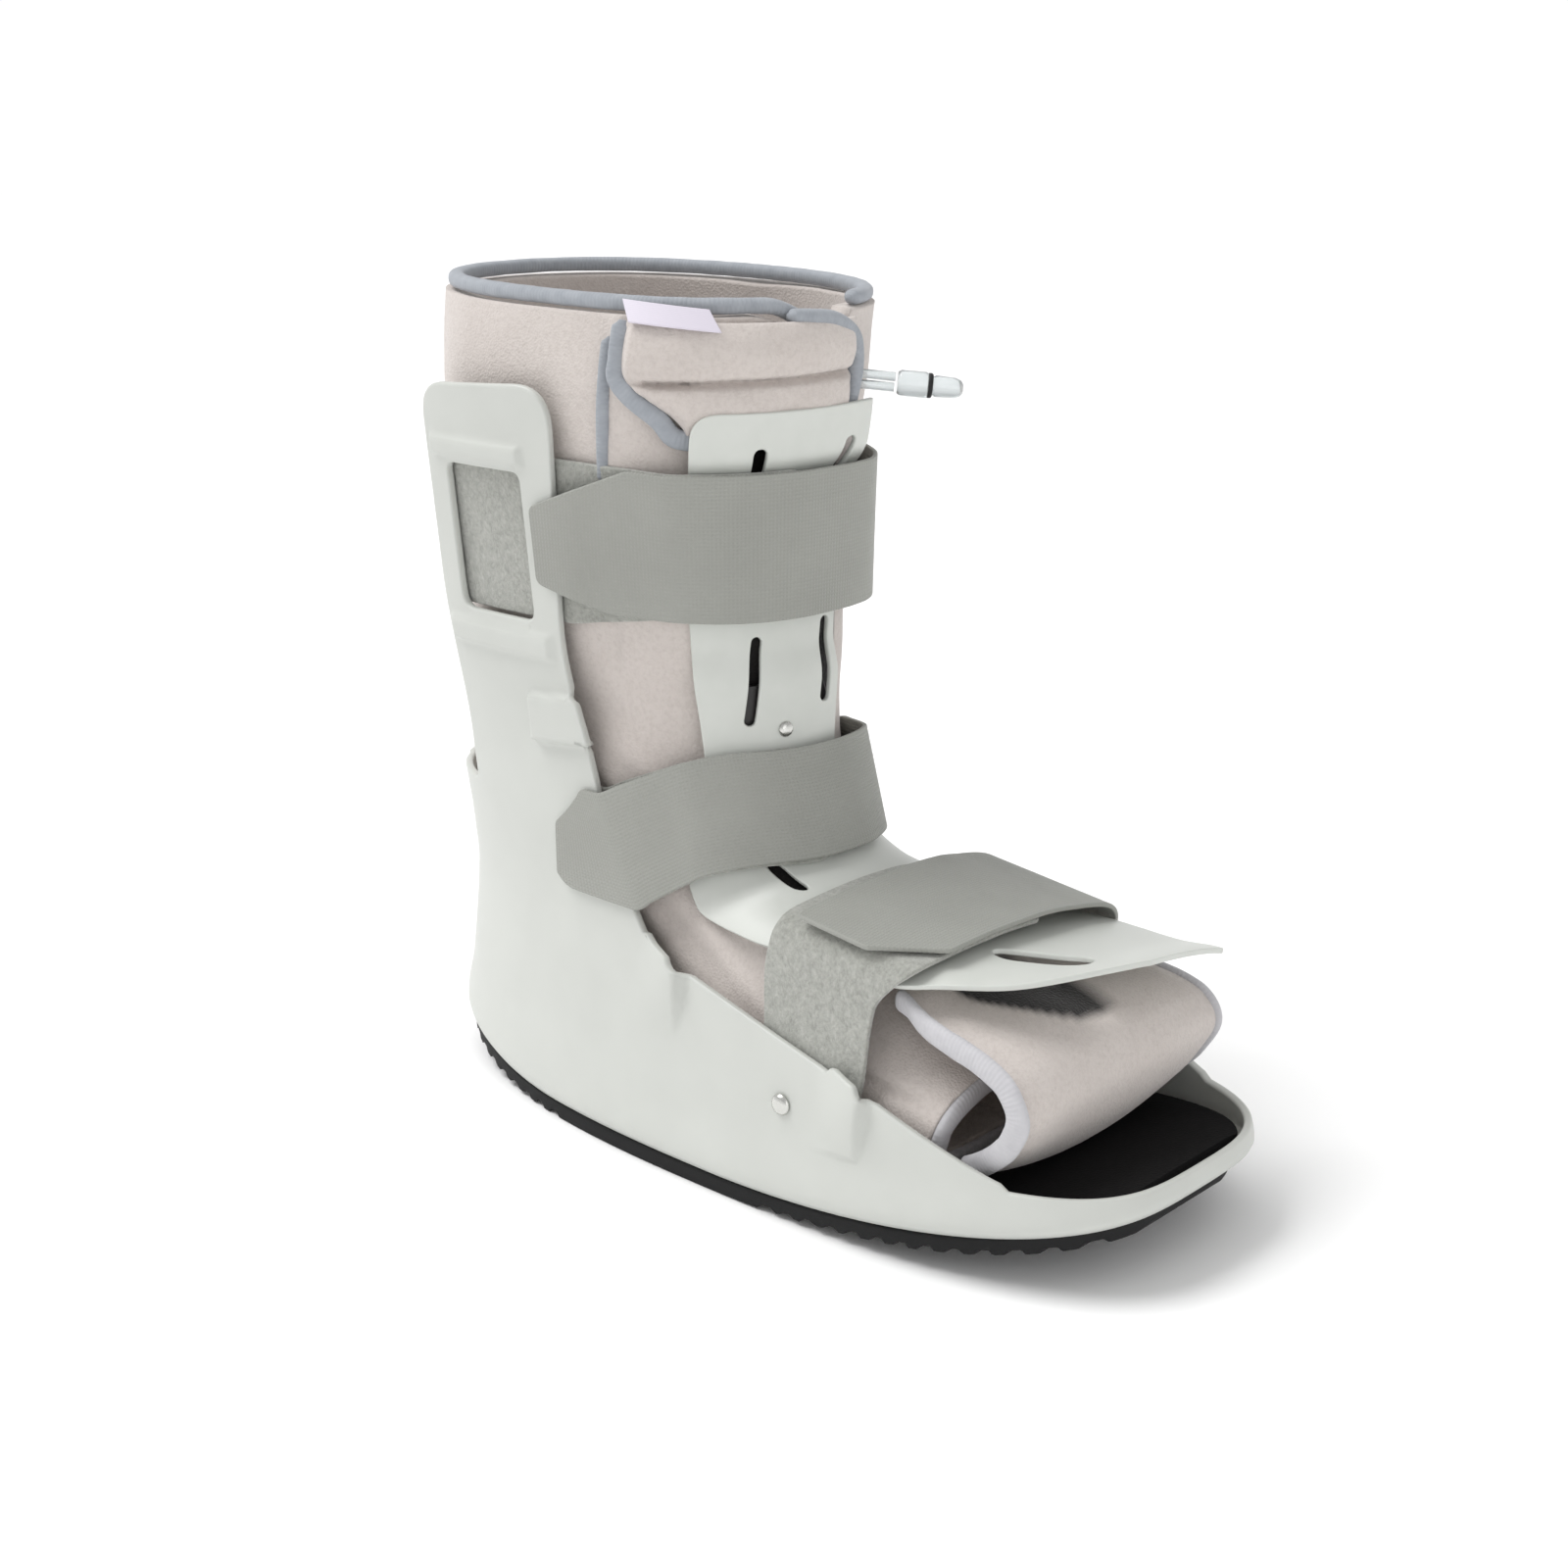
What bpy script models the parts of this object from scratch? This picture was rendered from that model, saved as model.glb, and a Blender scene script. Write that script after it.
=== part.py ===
"""Short walking boot: a rigid shell on a rocker sole, a padded liner, two front plates and three straps.

Metres, +Z up. +X points to the toes and -Y is the near side. The origin is on the flat middle of the sole.
"""
import math

import bmesh
import bpy
from mathutils import Vector

# Clearances and cutters
GAP = 0.0004
CUT_REACH = 0.030

# Rocker sole
SOLE_HEEL_X = -0.153
SOLE_TOE_X = 0.154
SOLE_HALF_WIDTH = 0.0665
OUTSOLE_THICKNESS = 0.0056
OUTSOLE_INSET = 0.0026
TREAD_DEPTH = 0.0016
TREAD_PITCH = 0.0120
FLAT_HEEL_X = -0.060
FLAT_TOE_X = 0.012
HEEL_ROCKER = 0.0142
TOE_ROCKER = 0.0167
HEEL_ROCKER_POWER = 2.0
TOE_ROCKER_POWER = 1.8

# Shell
SHELL_WALL = 0.0026
SHELL_HEIGHT = 0.2450
SHELL_COLUMNS = 26
STRUT_BACK_X = -0.1080
STRUT_FRONT_X = -0.0470
STRUT_CORNER = 0.0130
HEEL_CUP_Z = 0.1060
TOE_LIP_Z = 0.0315
WINDOW_BACK_X = -0.0975
WINDOW_FRONT_X = -0.0630
WINDOW_LOW_Z = 0.1690
WINDOW_HIGH_Z = 0.2165
WINDOW_CORNER = 0.0030

# Insole and liner
INSOLE_THICKNESS = 0.0050
INSOLE_INSET = 0.0044
LINER_HEEL_X = -0.1430
LINER_LENGTH = 0.2430
LINER_HEIGHT = 0.2700
LINER_HALF_WIDTH = 0.0575
LINER_WALL = 0.0070
LINER_COLUMNS = 24
TOE_FLAP_THICKNESS = 0.0072
TOE_FLAP_HALF_WIDTH = 0.0515
FRONT_FLAP_THICKNESS = 0.0064
FRONT_FLAP_LOW_Z = 0.2300
FRONT_FLAP_HIGH_Z = 0.2620
FRONT_FLAP_FAR = 5.0
COLLAR_BINDING_RADIUS = 0.0022
BINDING_RADIUS = 0.0018
EDGE_BINDING_ANGLE = -67.5
LABEL_THICKNESS = 0.0008
LABEL_HEIGHT = 0.0080

# Plates and rivets
PLATE_THICKNESS = 0.0018
PLATE_GAP = 0.0008
SLOT_WIDTH = 0.0045
PLATE_RIVET_RADIUS = 0.0024
WALL_RIVET_RADIUS = 0.0033
WALL_RIVET_X = 0.0440
WALL_RIVET_Z = 0.0380

# Straps
STRAP_THICKNESS = 0.0016
STRAP_GAP = 0.0006
CALF_STRAP_LOW_Z = 0.1760
CALF_STRAP_HIGH_Z = 0.2220

# Air tubes and valve
TUBE_RADIUS = 0.0014
TUBE_UPPER_Z = 0.2475
TUBE_LOWER_Z = 0.2443
TUBE_FREE_LENGTH = 0.0140
VALVE_RADIUS = 0.0040
VALVE_LENGTH = 0.0200

# Shell outline at each height. rise is a share of the height above the outsole, heel and toe are shares of the
# sole's ends, the widths are shares of its half width, and the two powers square the plan's corners.
SHELL_LEVELS = [
    dict(rise=0.000, heel=0.950, toe=0.985, heel_w=0.870, ball_w=0.970, heel_n=2.3, toe_n=3.4),
    dict(rise=0.017, heel=0.962, toe=1.005, heel_w=0.905, ball_w=1.000, heel_n=2.3, toe_n=3.4),
    dict(rise=0.084, heel=0.945, toe=0.990, heel_w=0.880, ball_w=0.970, heel_n=2.3, toe_n=3.4),
    dict(rise=0.181, heel=0.922, toe=0.970, heel_w=0.840, ball_w=0.935, heel_n=2.4, toe_n=3.3),
    dict(rise=0.262, heel=0.914, toe=0.900, heel_w=0.810, ball_w=0.900, heel_n=2.4, toe_n=3.0),
    dict(rise=0.328, heel=0.909, toe=0.720, heel_w=0.795, ball_w=0.865, heel_n=2.5, toe_n=2.6),
    dict(rise=0.475, heel=0.920, toe=0.260, heel_w=0.782, ball_w=0.800, heel_n=2.6, toe_n=2.4),
    dict(rise=0.727, heel=0.980, toe=0.060, heel_w=0.880, ball_w=0.880, heel_n=2.8, toe_n=2.6),
    dict(rise=1.021, heel=0.993, toe=0.060, heel_w=0.993, ball_w=0.993, heel_n=2.8, toe_n=2.6),
]
SHELL_ROWS = (0.0, 0.006, 0.017, 0.05, 0.10, 0.16, 0.23, 0.30, 0.38, 0.46, 0.56, 0.68, 0.84, 1.021)

# Liner sections from the collar to the toe opening. Each is a plane loop between a back and a front point:
# x as a share of the liner's length from its heel, z as a share of its height, widths as shares of its half width.
# turn moves the front to the near side, as a share of the half width, and roll slopes it down to the far side.
LINER_SECTIONS = [
    dict(bx=0.027, bz=0.993, fx=0.640, fz=0.985, bw=0.975, fw=0.975, bn=2.3, fn=2.3, turn=0.050, roll=0.00),
    dict(bx=0.024, bz=0.907, fx=0.628, fz=0.907, bw=1.000, fw=1.000, bn=2.3, fn=2.3, turn=0.070, roll=0.00),
    dict(bx=0.022, bz=0.807, fx=0.616, fz=0.807, bw=0.970, fw=0.960, bn=2.3, fn=2.3, turn=0.090, roll=0.00),
    dict(bx=0.018, bz=0.715, fx=0.610, fz=0.718, bw=0.920, fw=0.910, bn=2.3, fn=2.3, turn=0.090, roll=0.00),
    dict(bx=0.026, bz=0.593, fx=0.608, fz=0.615, bw=0.865, fw=0.855, bn=2.3, fn=2.3, turn=0.080, roll=0.00),
    dict(bx=0.034, bz=0.463, fx=0.608, fz=0.525, bw=0.810, fw=0.810, bn=2.3, fn=2.2, turn=0.070, roll=0.00),
    dict(bx=0.038, bz=0.326, fx=0.620, fz=0.450, bw=0.770, fw=0.825, bn=2.3, fn=2.2, turn=0.100, roll=0.02),
    dict(bx=0.034, bz=0.204, fx=0.646, fz=0.392, bw=0.755, fw=0.850, bn=2.4, fn=2.2, turn=0.110, roll=0.04),
    dict(bx=0.044, bz=0.118, fx=0.704, fz=0.350, bw=0.750, fw=0.880, bn=2.6, fn=2.2, turn=0.080, roll=0.06),
    dict(bx=0.100, bz=0.077, fx=0.770, fz=0.328, bw=0.780, fw=0.905, bn=3.0, fn=2.3, turn=0.050, roll=0.08),
    dict(bx=0.240, bz=0.063, fx=0.819, fz=0.310, bw=0.850, fw=0.920, bn=4.0, fn=2.3, turn=0.025, roll=0.08),
    dict(bx=0.424, bz=0.055, fx=0.862, fz=0.288, bw=0.900, fw=0.925, bn=5.0, fn=2.3, turn=0.000, roll=0.07),
    dict(bx=0.609, bz=0.0545, fx=0.905, fz=0.260, bw=0.925, fw=0.920, bn=5.0, fn=2.3, turn=0.000, roll=0.05),
    dict(bx=0.794, bz=0.0615, fx=0.950, fz=0.234, bw=0.930, fw=0.910, bn=5.0, fn=2.3, turn=0.000, roll=0.02),
    dict(bx=0.955, bz=0.0770, fx=0.992, fz=0.207, bw=0.915, fw=0.900, bn=5.0, fn=2.4, turn=0.000, roll=0.00),
]

# The foot plate's sections, in the same columns: over the liner at the ankle, then over the rolled toe flap.
# near and far are the angles that its edges reach, in degrees from the front.
PLATE_SECTIONS = [
    dict(bx=0.030, bz=0.540, fx=0.608, fz=0.570, bw=0.838, fw=0.830, bn=2.3, fn=2.2, turn=0.075, roll=0.00,
         near=-32, far=3),
    dict(bx=0.034, bz=0.463, fx=0.608, fz=0.525, bw=0.810, fw=0.810, bn=2.3, fn=2.2, turn=0.070, roll=0.00,
         near=-38, far=8),
    dict(bx=0.038, bz=0.326, fx=0.620, fz=0.450, bw=0.770, fw=0.825, bn=2.3, fn=2.2, turn=0.100, roll=0.02,
         near=-43, far=14),
    dict(bx=0.034, bz=0.204, fx=0.646, fz=0.392, bw=0.755, fw=0.850, bn=2.4, fn=2.2, turn=0.110, roll=0.04,
         near=-50, far=21),
    dict(bx=0.100, bz=0.130, fx=0.712, fz=0.350, bw=0.760, fw=0.880, bn=2.6, fn=2.2, turn=0.080, roll=0.06,
         near=-58, far=38),
    dict(bx=0.420, bz=0.160, fx=0.774, fz=0.331, bw=0.840, fw=0.920, bn=2.6, fn=2.3, turn=0.040, roll=0.08,
         near=-65, far=48),
    dict(bx=0.700, bz=0.215, fx=0.850, fz=0.317, bw=0.920, fw=0.945, bn=2.6, fn=2.3, turn=0.000, roll=0.10,
         near=-70, far=52),
    dict(bx=0.870, bz=0.240, fx=0.925, fz=0.308, bw=0.945, fw=0.950, bn=2.6, fn=2.3, turn=0.000, roll=0.10,
         near=-73, far=56),
    dict(bx=0.960, bz=0.240, fx=0.985, fz=0.306, bw=0.940, fw=0.950, bn=2.6, fn=2.3, turn=0.000, roll=0.10,
         near=-59, far=62),
    dict(bx=1.020, bz=0.240, fx=1.045, fz=0.306, bw=0.940, fw=0.945, bn=2.6, fn=2.3, turn=0.000, roll=0.10,
         near=-42, far=65),
    dict(bx=1.062, bz=0.240, fx=1.085, fz=0.307, bw=0.935, fw=0.940, bn=2.6, fn=2.3, turn=0.000, roll=0.10,
         near=-21, far=66),
    dict(bx=1.098, bz=0.240, fx=1.113, fz=0.308, bw=0.930, fw=0.935, bn=2.6, fn=2.3, turn=0.000, roll=0.10,
         near=6, far=64),
]

# Middle line of the rolled toe flap, in shares of the liner's length and height. sag is how far its side edges
# turn in from the line, as a share of the flap's half width, and roll is its slope to the far side.
TOE_FLAP_LINE = [
    dict(x=0.905, z=0.288, sag=0.10, roll=0.09, width=0.90),
    dict(x=0.925, z=0.284, sag=0.10, roll=0.09, width=0.92),
    dict(x=0.955, z=0.275, sag=0.10, roll=0.08, width=0.96),
    dict(x=1.000, z=0.263, sag=0.07, roll=0.06, width=1.00),
    dict(x=1.049, z=0.250, sag=0.05, roll=0.04, width=1.00),
    dict(x=1.086, z=0.228, sag=0.02, roll=0.02, width=1.00),
    dict(x=1.100, z=0.198, sag=0.00, roll=0.00, width=0.99),
    dict(x=1.088, z=0.164, sag=0.02, roll=0.00, width=0.95),
    dict(x=1.058, z=0.121, sag=0.08, roll=0.00, width=0.91),
    dict(x=1.022, z=0.092, sag=0.12, roll=0.00, width=0.88),
]


# Shin plate: the angles its edges reach at each height, in degrees from the front.
SHIN_PLATE_ROWS = [
    dict(z=0.1280, near=-41.0, far=6.0),
    dict(z=0.1650, near=-46.0, far=9.0),
    dict(z=0.2300, near=-46.5, far=12.0),
    dict(z=0.2390, near=-38.0, far=12.0),
]
# Slots: name, angle and height of the low end, then of the high end.
SHIN_SLOTS = [
    ("slot_upper_near", -18.0, -18.0, 0.2190, 0.2285),
    ("slot_upper_far", 6.0, 7.5, 0.2190, 0.2285),
    ("slot_lower_near", -30.0, -25.0, 0.1440, 0.1690),
    ("slot_lower_far", -1.0, 0.5, 0.1460, 0.1690),
]
# Slots of the foot plate: name, then place and share across for each end.
FOOT_SLOTS = [
    ("slot_instep", (3.00, 0.31), (3.60, 0.38)),
    ("slot_toe", (8.20, 0.36), (9.40, 0.33)),
]

# Leg straps. back is at the walls and front is over the shin; low_x and high_x are just ahead of the strut's front
# edge, at the strap's low and high edges.
LEG_STRAPS = [
    dict(name="calf_strap", back_low=0.1760, back_high=0.2220, front_low=0.1760, front_high=0.2220,
         back_x=-0.1030, low_x=-0.0450, high_x=-0.0420, tip_x=-0.0580, plate_far=12.5),
    dict(name="ankle_strap", back_low=0.0830, back_high=0.1170, front_low=0.0960, front_high=0.1300,
         back_x=-0.0680, low_x=-0.0210, high_x=-0.0400, tip_x=-0.0590, plate_far=20.0),
]

# Forefoot straps from the wall over the plate: y is a share of the sole's half width, or 1 and -1 where the strap
# lies on the inside of a wall. rear and front are shares of the sole's toe end, and their heights are shares of the
# liner's height.
FOREFOOT_LOOP = [
    dict(y=-1.000, rear=0.205, rear_z=0.180, front=0.455, front_z=0.165),
    dict(y=-1.000, rear=0.207, rear_z=0.215, front=0.462, front_z=0.190),
    dict(y=-0.825, rear=0.212, rear_z=0.285, front=0.485, front_z=0.275),
    dict(y=-0.822, rear=0.226, rear_z=0.325, front=0.530, front_z=0.308),
    dict(y=-0.800, rear=0.236, rear_z=0.341, front=0.560, front_z=0.322),
    dict(y=-0.750, rear=0.240, rear_z=0.348, front=0.572, front_z=0.328),
    dict(y=-0.620, rear=0.240, rear_z=0.351, front=0.574, front_z=0.330),
    dict(y=-0.450, rear=0.240, rear_z=0.353, front=0.574, front_z=0.331),
    dict(y=-0.250, rear=0.240, rear_z=0.354, front=0.574, front_z=0.331),
    dict(y=-0.050, rear=0.240, rear_z=0.352, front=0.574, front_z=0.329),
    dict(y=0.150, rear=0.240, rear_z=0.347, front=0.574, front_z=0.324),
]
FOREFOOT_HOOK = [
    dict(y=1.000, rear=0.205, rear_z=0.180, front=0.480, front_z=0.160),
    dict(y=1.000, rear=0.215, rear_z=0.215, front=0.500, front_z=0.185),
    dict(y=0.795, rear=0.235, rear_z=0.272, front=0.540, front_z=0.257),
    dict(y=0.770, rear=0.252, rear_z=0.300, front=0.560, front_z=0.281),
    dict(y=0.715, rear=0.262, rear_z=0.319, front=0.570, front_z=0.298),
    dict(y=0.620, rear=0.268, rear_z=0.333, front=0.576, front_z=0.310),
    dict(y=0.500, rear=0.270, rear_z=0.342, front=0.578, front_z=0.318),
    dict(y=0.380, rear=0.273, rear_z=0.348, front=0.580, front_z=0.324),
    dict(y=0.220, rear=0.278, rear_z=0.356, front=0.585, front_z=0.332),
    dict(y=0.060, rear=0.282, rear_z=0.360, front=0.588, front_z=0.337),
    dict(y=-0.150, rear=0.287, rear_z=0.363, front=0.590, front_z=0.340),
    dict(y=-0.350, rear=0.290, rear_z=0.363, front=0.590, front_z=0.341),
    dict(y=-0.550, rear=0.292, rear_z=0.361, front=0.588, front_z=0.340),
    dict(y=-0.750, rear=0.294, rear_z=0.358, front=0.540, front_z=0.340),
    dict(y=-0.850, rear=0.296, rear_z=0.356, front=0.465, front_z=0.345),
]
TUBE_START_ANGLE = -13.0


def reset():
    for old in list(bpy.data.objects):
        bpy.data.objects.remove(old, do_unlink=True)


def collection(name):
    group = bpy.data.collections.new(name)
    bpy.context.scene.collection.children.link(group)
    return group


def material(name, colour, roughness, metallic=0.0):
    mat = bpy.data.materials.new(name)
    mat.use_nodes = True
    shader = mat.node_tree.nodes["Principled BSDF"]
    shader.inputs["Base Color"].default_value = (*colour, 1.0)
    shader.inputs["Roughness"].default_value = roughness
    shader.inputs["Metallic"].default_value = metallic
    mat.diffuse_color = (*colour, 1.0)
    return mat


def interpolate(rows, key, value):
    """Row of a table at a value of its key column, by a monotone cubic through each column."""
    keys = [row[key] for row in rows]
    value = min(max(value, keys[0]), keys[-1])
    i = max(k for k in range(len(keys) - 1) if keys[k] <= value)
    span = keys[i + 1] - keys[i]
    f = (value - keys[i]) / span

    def tangent(column, k):
        if k == 0 or k == len(rows) - 1:
            return 0.0
        before = (rows[k][column] - rows[k - 1][column]) / (keys[k] - keys[k - 1])
        after = (rows[k + 1][column] - rows[k][column]) / (keys[k + 1] - keys[k])
        if before * after <= 0.0:
            return 0.0
        return 2.0 * before * after / (before + after)

    def at(column):
        a, b = rows[i][column], rows[i + 1][column]
        p, q = tangent(column, i) * span, tangent(column, i + 1) * span
        if i == 0:
            p = 1.5 * (b - a) - 0.5 * q
        if i == len(rows) - 2:
            q = 1.5 * (b - a) - 0.5 * p
        return (a * (1 + 2 * f) * (1 - f) ** 2 + p * f * (1 - f) ** 2
                + b * f * f * (3 - 2 * f) + q * f * f * (f - 1))

    return {column: at(column) for column in rows[0]}


def smoothstep(value):
    value = min(max(value, 0.0), 1.0)
    return value * value * (3 - 2 * value)


def blend(a, b, share):
    return a + (b - a) * share


def power(value, exponent):
    return math.copysign(abs(value) ** exponent, value)


def rocker(x):
    """Height that the sole curves up to at x."""
    toe = max(0.0, (x - FLAT_TOE_X) / (SOLE_TOE_X - FLAT_TOE_X))
    heel = max(0.0, (FLAT_HEEL_X - x) / (FLAT_HEEL_X - SOLE_HEEL_X))
    return TOE_ROCKER * toe ** TOE_ROCKER_POWER + HEEL_ROCKER * heel ** HEEL_ROCKER_POWER


SHELL_BASE_Z = OUTSOLE_THICKNESS + GAP
INSOLE_LOW_Z = SHELL_BASE_Z + SHELL_WALL + 2 * GAP
INSOLE_TOP_Z = INSOLE_LOW_Z + INSOLE_THICKNESS


def shell_outline(rise, cosine, sine):
    """Point of the shell's outer face at a share of its height, on the near side."""
    row = interpolate(SHELL_LEVELS, "rise", rise)
    heel, toe = row["heel"] * SOLE_HEEL_X, row["toe"] * SOLE_TOE_X
    n = row["toe_n"] if cosine > 0 else row["heel_n"]
    along = power(cosine, 2 / n)
    width = blend(row["heel_w"], row["ball_w"], smoothstep((along + 1) / 2)) * SOLE_HALF_WIDTH
    x = (heel + toe) / 2 + (toe - heel) / 2 * along
    z = SHELL_BASE_Z + rise * (SHELL_HEIGHT - SHELL_BASE_Z)
    z += rocker(x) * max(0.0, 1 - rise / 0.3)
    return Vector((x, -width * power(sine, 2 / n), z))


def shell_half_width(x, z):
    """Half width of the shell's outer face at a place on its side."""
    rise = (z - SHELL_BASE_Z) / (SHELL_HEIGHT - SHELL_BASE_Z)
    rise = max(0.0, (z - SHELL_BASE_Z - rocker(x) * max(0.0, 1 - rise / 0.3)) / (SHELL_HEIGHT - SHELL_BASE_Z))
    row = interpolate(SHELL_LEVELS, "rise", rise)
    heel, toe = row["heel"] * SOLE_HEEL_X, row["toe"] * SOLE_TOE_X
    along = (x - (heel + toe) / 2) / ((toe - heel) / 2)
    n = row["toe_n"] if along > 0 else row["heel_n"]
    width = blend(row["heel_w"], row["ball_w"], smoothstep((along + 1) / 2)) * SOLE_HALF_WIDTH
    return width * max(0.0, 1 - abs(along) ** n) ** (1 / n)


def section_point(sections, place, angle):
    """Point on a loft of plane loops. place counts sections; angle is 0 at the front, negative on the near side."""
    rows = [dict(row, place=i) for i, row in enumerate(sections)]
    row = interpolate(rows, "place", place)
    cosine, sine = math.cos(angle), math.sin(angle)
    n = row["fn"] if cosine > 0 else row["bn"]
    along = power(cosine, 2 / n)
    width = blend(row["bw"], row["fw"], smoothstep((along + 1) / 2)) * LINER_HALF_WIDTH
    x = blend(row["bx"], row["fx"], (along + 1) / 2) * LINER_LENGTH + LINER_HEEL_X
    z = blend(row["bz"], row["fz"], (along + 1) / 2) * LINER_HEIGHT
    y = width * power(sine, 2 / n)
    y -= row["turn"] * LINER_HALF_WIDTH * smoothstep(along)
    return Vector((x, y, z - row["roll"] * y * smoothstep((along + 1) / 2)))


def off_section(sections, place, angle, offset):
    """Point that stands off such a loft, along its outward normal."""
    step = 0.02
    along = section_point(sections, place + step, angle) - section_point(sections, place - step, angle)
    around = section_point(sections, place, angle + step) - section_point(sections, place, angle - step)
    normal = around.cross(along).normalized()
    point = section_point(sections, place, angle)
    inside = section_point(sections, place, 0.0) + section_point(sections, place, math.pi)
    if normal.dot(point - inside / 2) < 0:
        normal.negate()
    return point + normal * offset


def grid_mesh(name, rows, closed=False):
    """Open mesh through equal rows of points; closed joins the last point of each row to its first."""
    bm = bmesh.new()
    verts = [[bm.verts.new(point) for point in row] for row in rows]
    count = len(rows[0])
    for a, b in zip(verts, verts[1:]):
        for j in range(count if closed else count - 1):
            k = (j + 1) % count
            bm.faces.new((a[j], a[k], b[k], b[j]))
    bmesh.ops.remove_doubles(bm, verts=bm.verts, dist=1e-6)
    bmesh.ops.dissolve_degenerate(bm, edges=bm.edges, dist=1e-6)
    return finish_mesh(name, bm)


def finish_mesh(name, bm):
    mesh = bpy.data.meshes.new(name)
    bm.to_mesh(mesh)
    bm.free()
    return mesh


def add(name, mesh, mat, group):
    piece = bpy.data.objects.new(name, mesh)
    mesh.materials.append(mat)
    mesh.shade_smooth()
    group.objects.link(piece)
    return piece


def solidify(piece, thickness, offset=1.0):
    wall = piece.modifiers.new("wall", "SOLIDIFY")
    wall.thickness = thickness
    wall.offset = offset
    wall.use_even_offset = True
    return wall


def closed_loft(name, rows):
    """Closed body through loops of points, with a face on each end."""
    bm = bmesh.new()
    verts = [[bm.verts.new(point) for point in row] for row in rows]
    count = len(rows[0])
    for a, b in zip(verts, verts[1:]):
        for j in range(count):
            k = (j + 1) % count
            bm.faces.new((a[j], a[k], b[k], b[j]))
    bm.faces.new(verts[0][::-1])
    bm.faces.new(verts[-1])
    bmesh.ops.recalc_face_normals(bm, faces=bm.faces)
    return finish_mesh(name, bm)


def rounded(points, arc_steps=5):
    """Closed outline with its corners rounded. Each point is (across, up, radius)."""
    outline = []
    for i, (x, y, radius) in enumerate(points):
        corner = Vector((x, y))
        before = Vector(points[i - 1][:2]) - corner
        after = Vector(points[(i + 1) % len(points)][:2]) - corner
        if radius == 0:
            outline.append(corner)
            continue
        half = before.angle(after) / 2
        reach = min(radius / math.tan(half), before.length * 0.49, after.length * 0.49)
        start, end = corner + before.normalized() * reach, corner + after.normalized() * reach
        for step in range(arc_steps + 1):
            f = step / arc_steps
            outline.append(start * (1 - f) ** 2 + corner * 2 * f * (1 - f) + end * f * f)
    return outline


def side_prism(name, outline, low_y, high_y, group):
    """Cutter: an outline in the side view, through the boot from one side to the other."""
    rows = [[Vector((p.x, y, p.y)) for p in outline] for y in (low_y, high_y)]
    return cutter_object(name, closed_loft(name, rows), group)


def cutter_object(name, mesh, group):
    cutter = bpy.data.objects.new(name, mesh)
    cutter.hide_render = True
    cutter.display_type = "WIRE"
    group.objects.link(cutter)
    return cutter


def boolean(piece, cutter, operation):
    cut = piece.modifiers.new(cutter.name, "BOOLEAN")
    cut.operation = operation
    cut.object = cutter
    return cut


def station_slab(name, stations):
    """Closed body from stations along the sole: (x, half width, low z, high z)."""
    rows = [[Vector((x, -w, low)), Vector((x, w, low)), Vector((x, w, high)), Vector((x, -w, high))]
            for x, w, low, high in stations]
    return closed_loft(name, rows)


def make_outsole(parts, mat):
    """Rubber sole: flat in the middle, curved up at both ends, with teeth across it outside the flat."""
    low_x, high_x = SOLE_HEEL_X * SHELL_LEVELS[1]["heel"] + OUTSOLE_INSET, SOLE_TOE_X - OUTSOLE_INSET
    count = round((high_x - low_x) / TREAD_PITCH)
    stations = []
    for k in range(count):
        for share, notch in ((0.02, 0), (0.55, 0), (0.62, 1), (0.92, 1)):
            x = blend(low_x, high_x, (k + share) / count)
            flat = FLAT_HEEL_X / 2 < x < FLAT_TOE_X
            tooth = 0.0 if flat else TREAD_DEPTH * notch
            width = shell_half_width(x * 0.965, SHELL_BASE_Z + rocker(x)) - OUTSOLE_INSET
            stations.append((x, max(width, 0.010), rocker(x) + tooth, rocker(x) + OUTSOLE_THICKNESS))
    return add("outsole", station_slab("outsole", stations), mat, parts)


def make_insole(parts, mat):
    inset = SHELL_WALL + INSOLE_INSET
    stations = []
    for step in range(41):
        along = -math.cos(math.pi * (0.04 + 0.92 * step / 40))
        x = blend(SOLE_HEEL_X * SHELL_LEVELS[2]["heel"] + inset, SOLE_TOE_X - inset, (along + 1) / 2)
        width = shell_half_width(x * 1.03, SHELL_BASE_Z + INSOLE_THICKNESS + rocker(x)) - inset
        stations.append((x, width, INSOLE_LOW_Z + rocker(x), INSOLE_TOP_Z + rocker(x)))
    return add("insole", station_slab("insole", stations), mat, parts)


def shell_profile():
    """Side view of the shell: sole, toe lip, side wall, strut and heel cup. Each corner is (x, z, radius)."""
    length, height = SOLE_TOE_X, SHELL_HEIGHT
    return [
        (SOLE_HEEL_X - CUT_REACH, -CUT_REACH, 0),
        (SOLE_TOE_X + CUT_REACH, -CUT_REACH, 0),
        (SOLE_TOE_X + CUT_REACH, TOE_LIP_Z, 0),
        (0.810 * length, TOE_LIP_Z, 0.060),
        (0.480 * length, 0.200 * height, 0.080),
        (-0.110 * length, 0.294 * height, 0.012),
        (-0.225 * length, 0.420 * height, 0.060),
        (STRUT_FRONT_X - 0.003, 0.640 * height, 0.080),
        (STRUT_FRONT_X + 0.003, height, STRUT_CORNER),
        (STRUT_BACK_X, height - 0.004, STRUT_CORNER),
        (STRUT_BACK_X, HEEL_CUP_Z, 0.005),
        (SOLE_HEEL_X - CUT_REACH, HEEL_CUP_Z + 0.002, 0),
    ]


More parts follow.
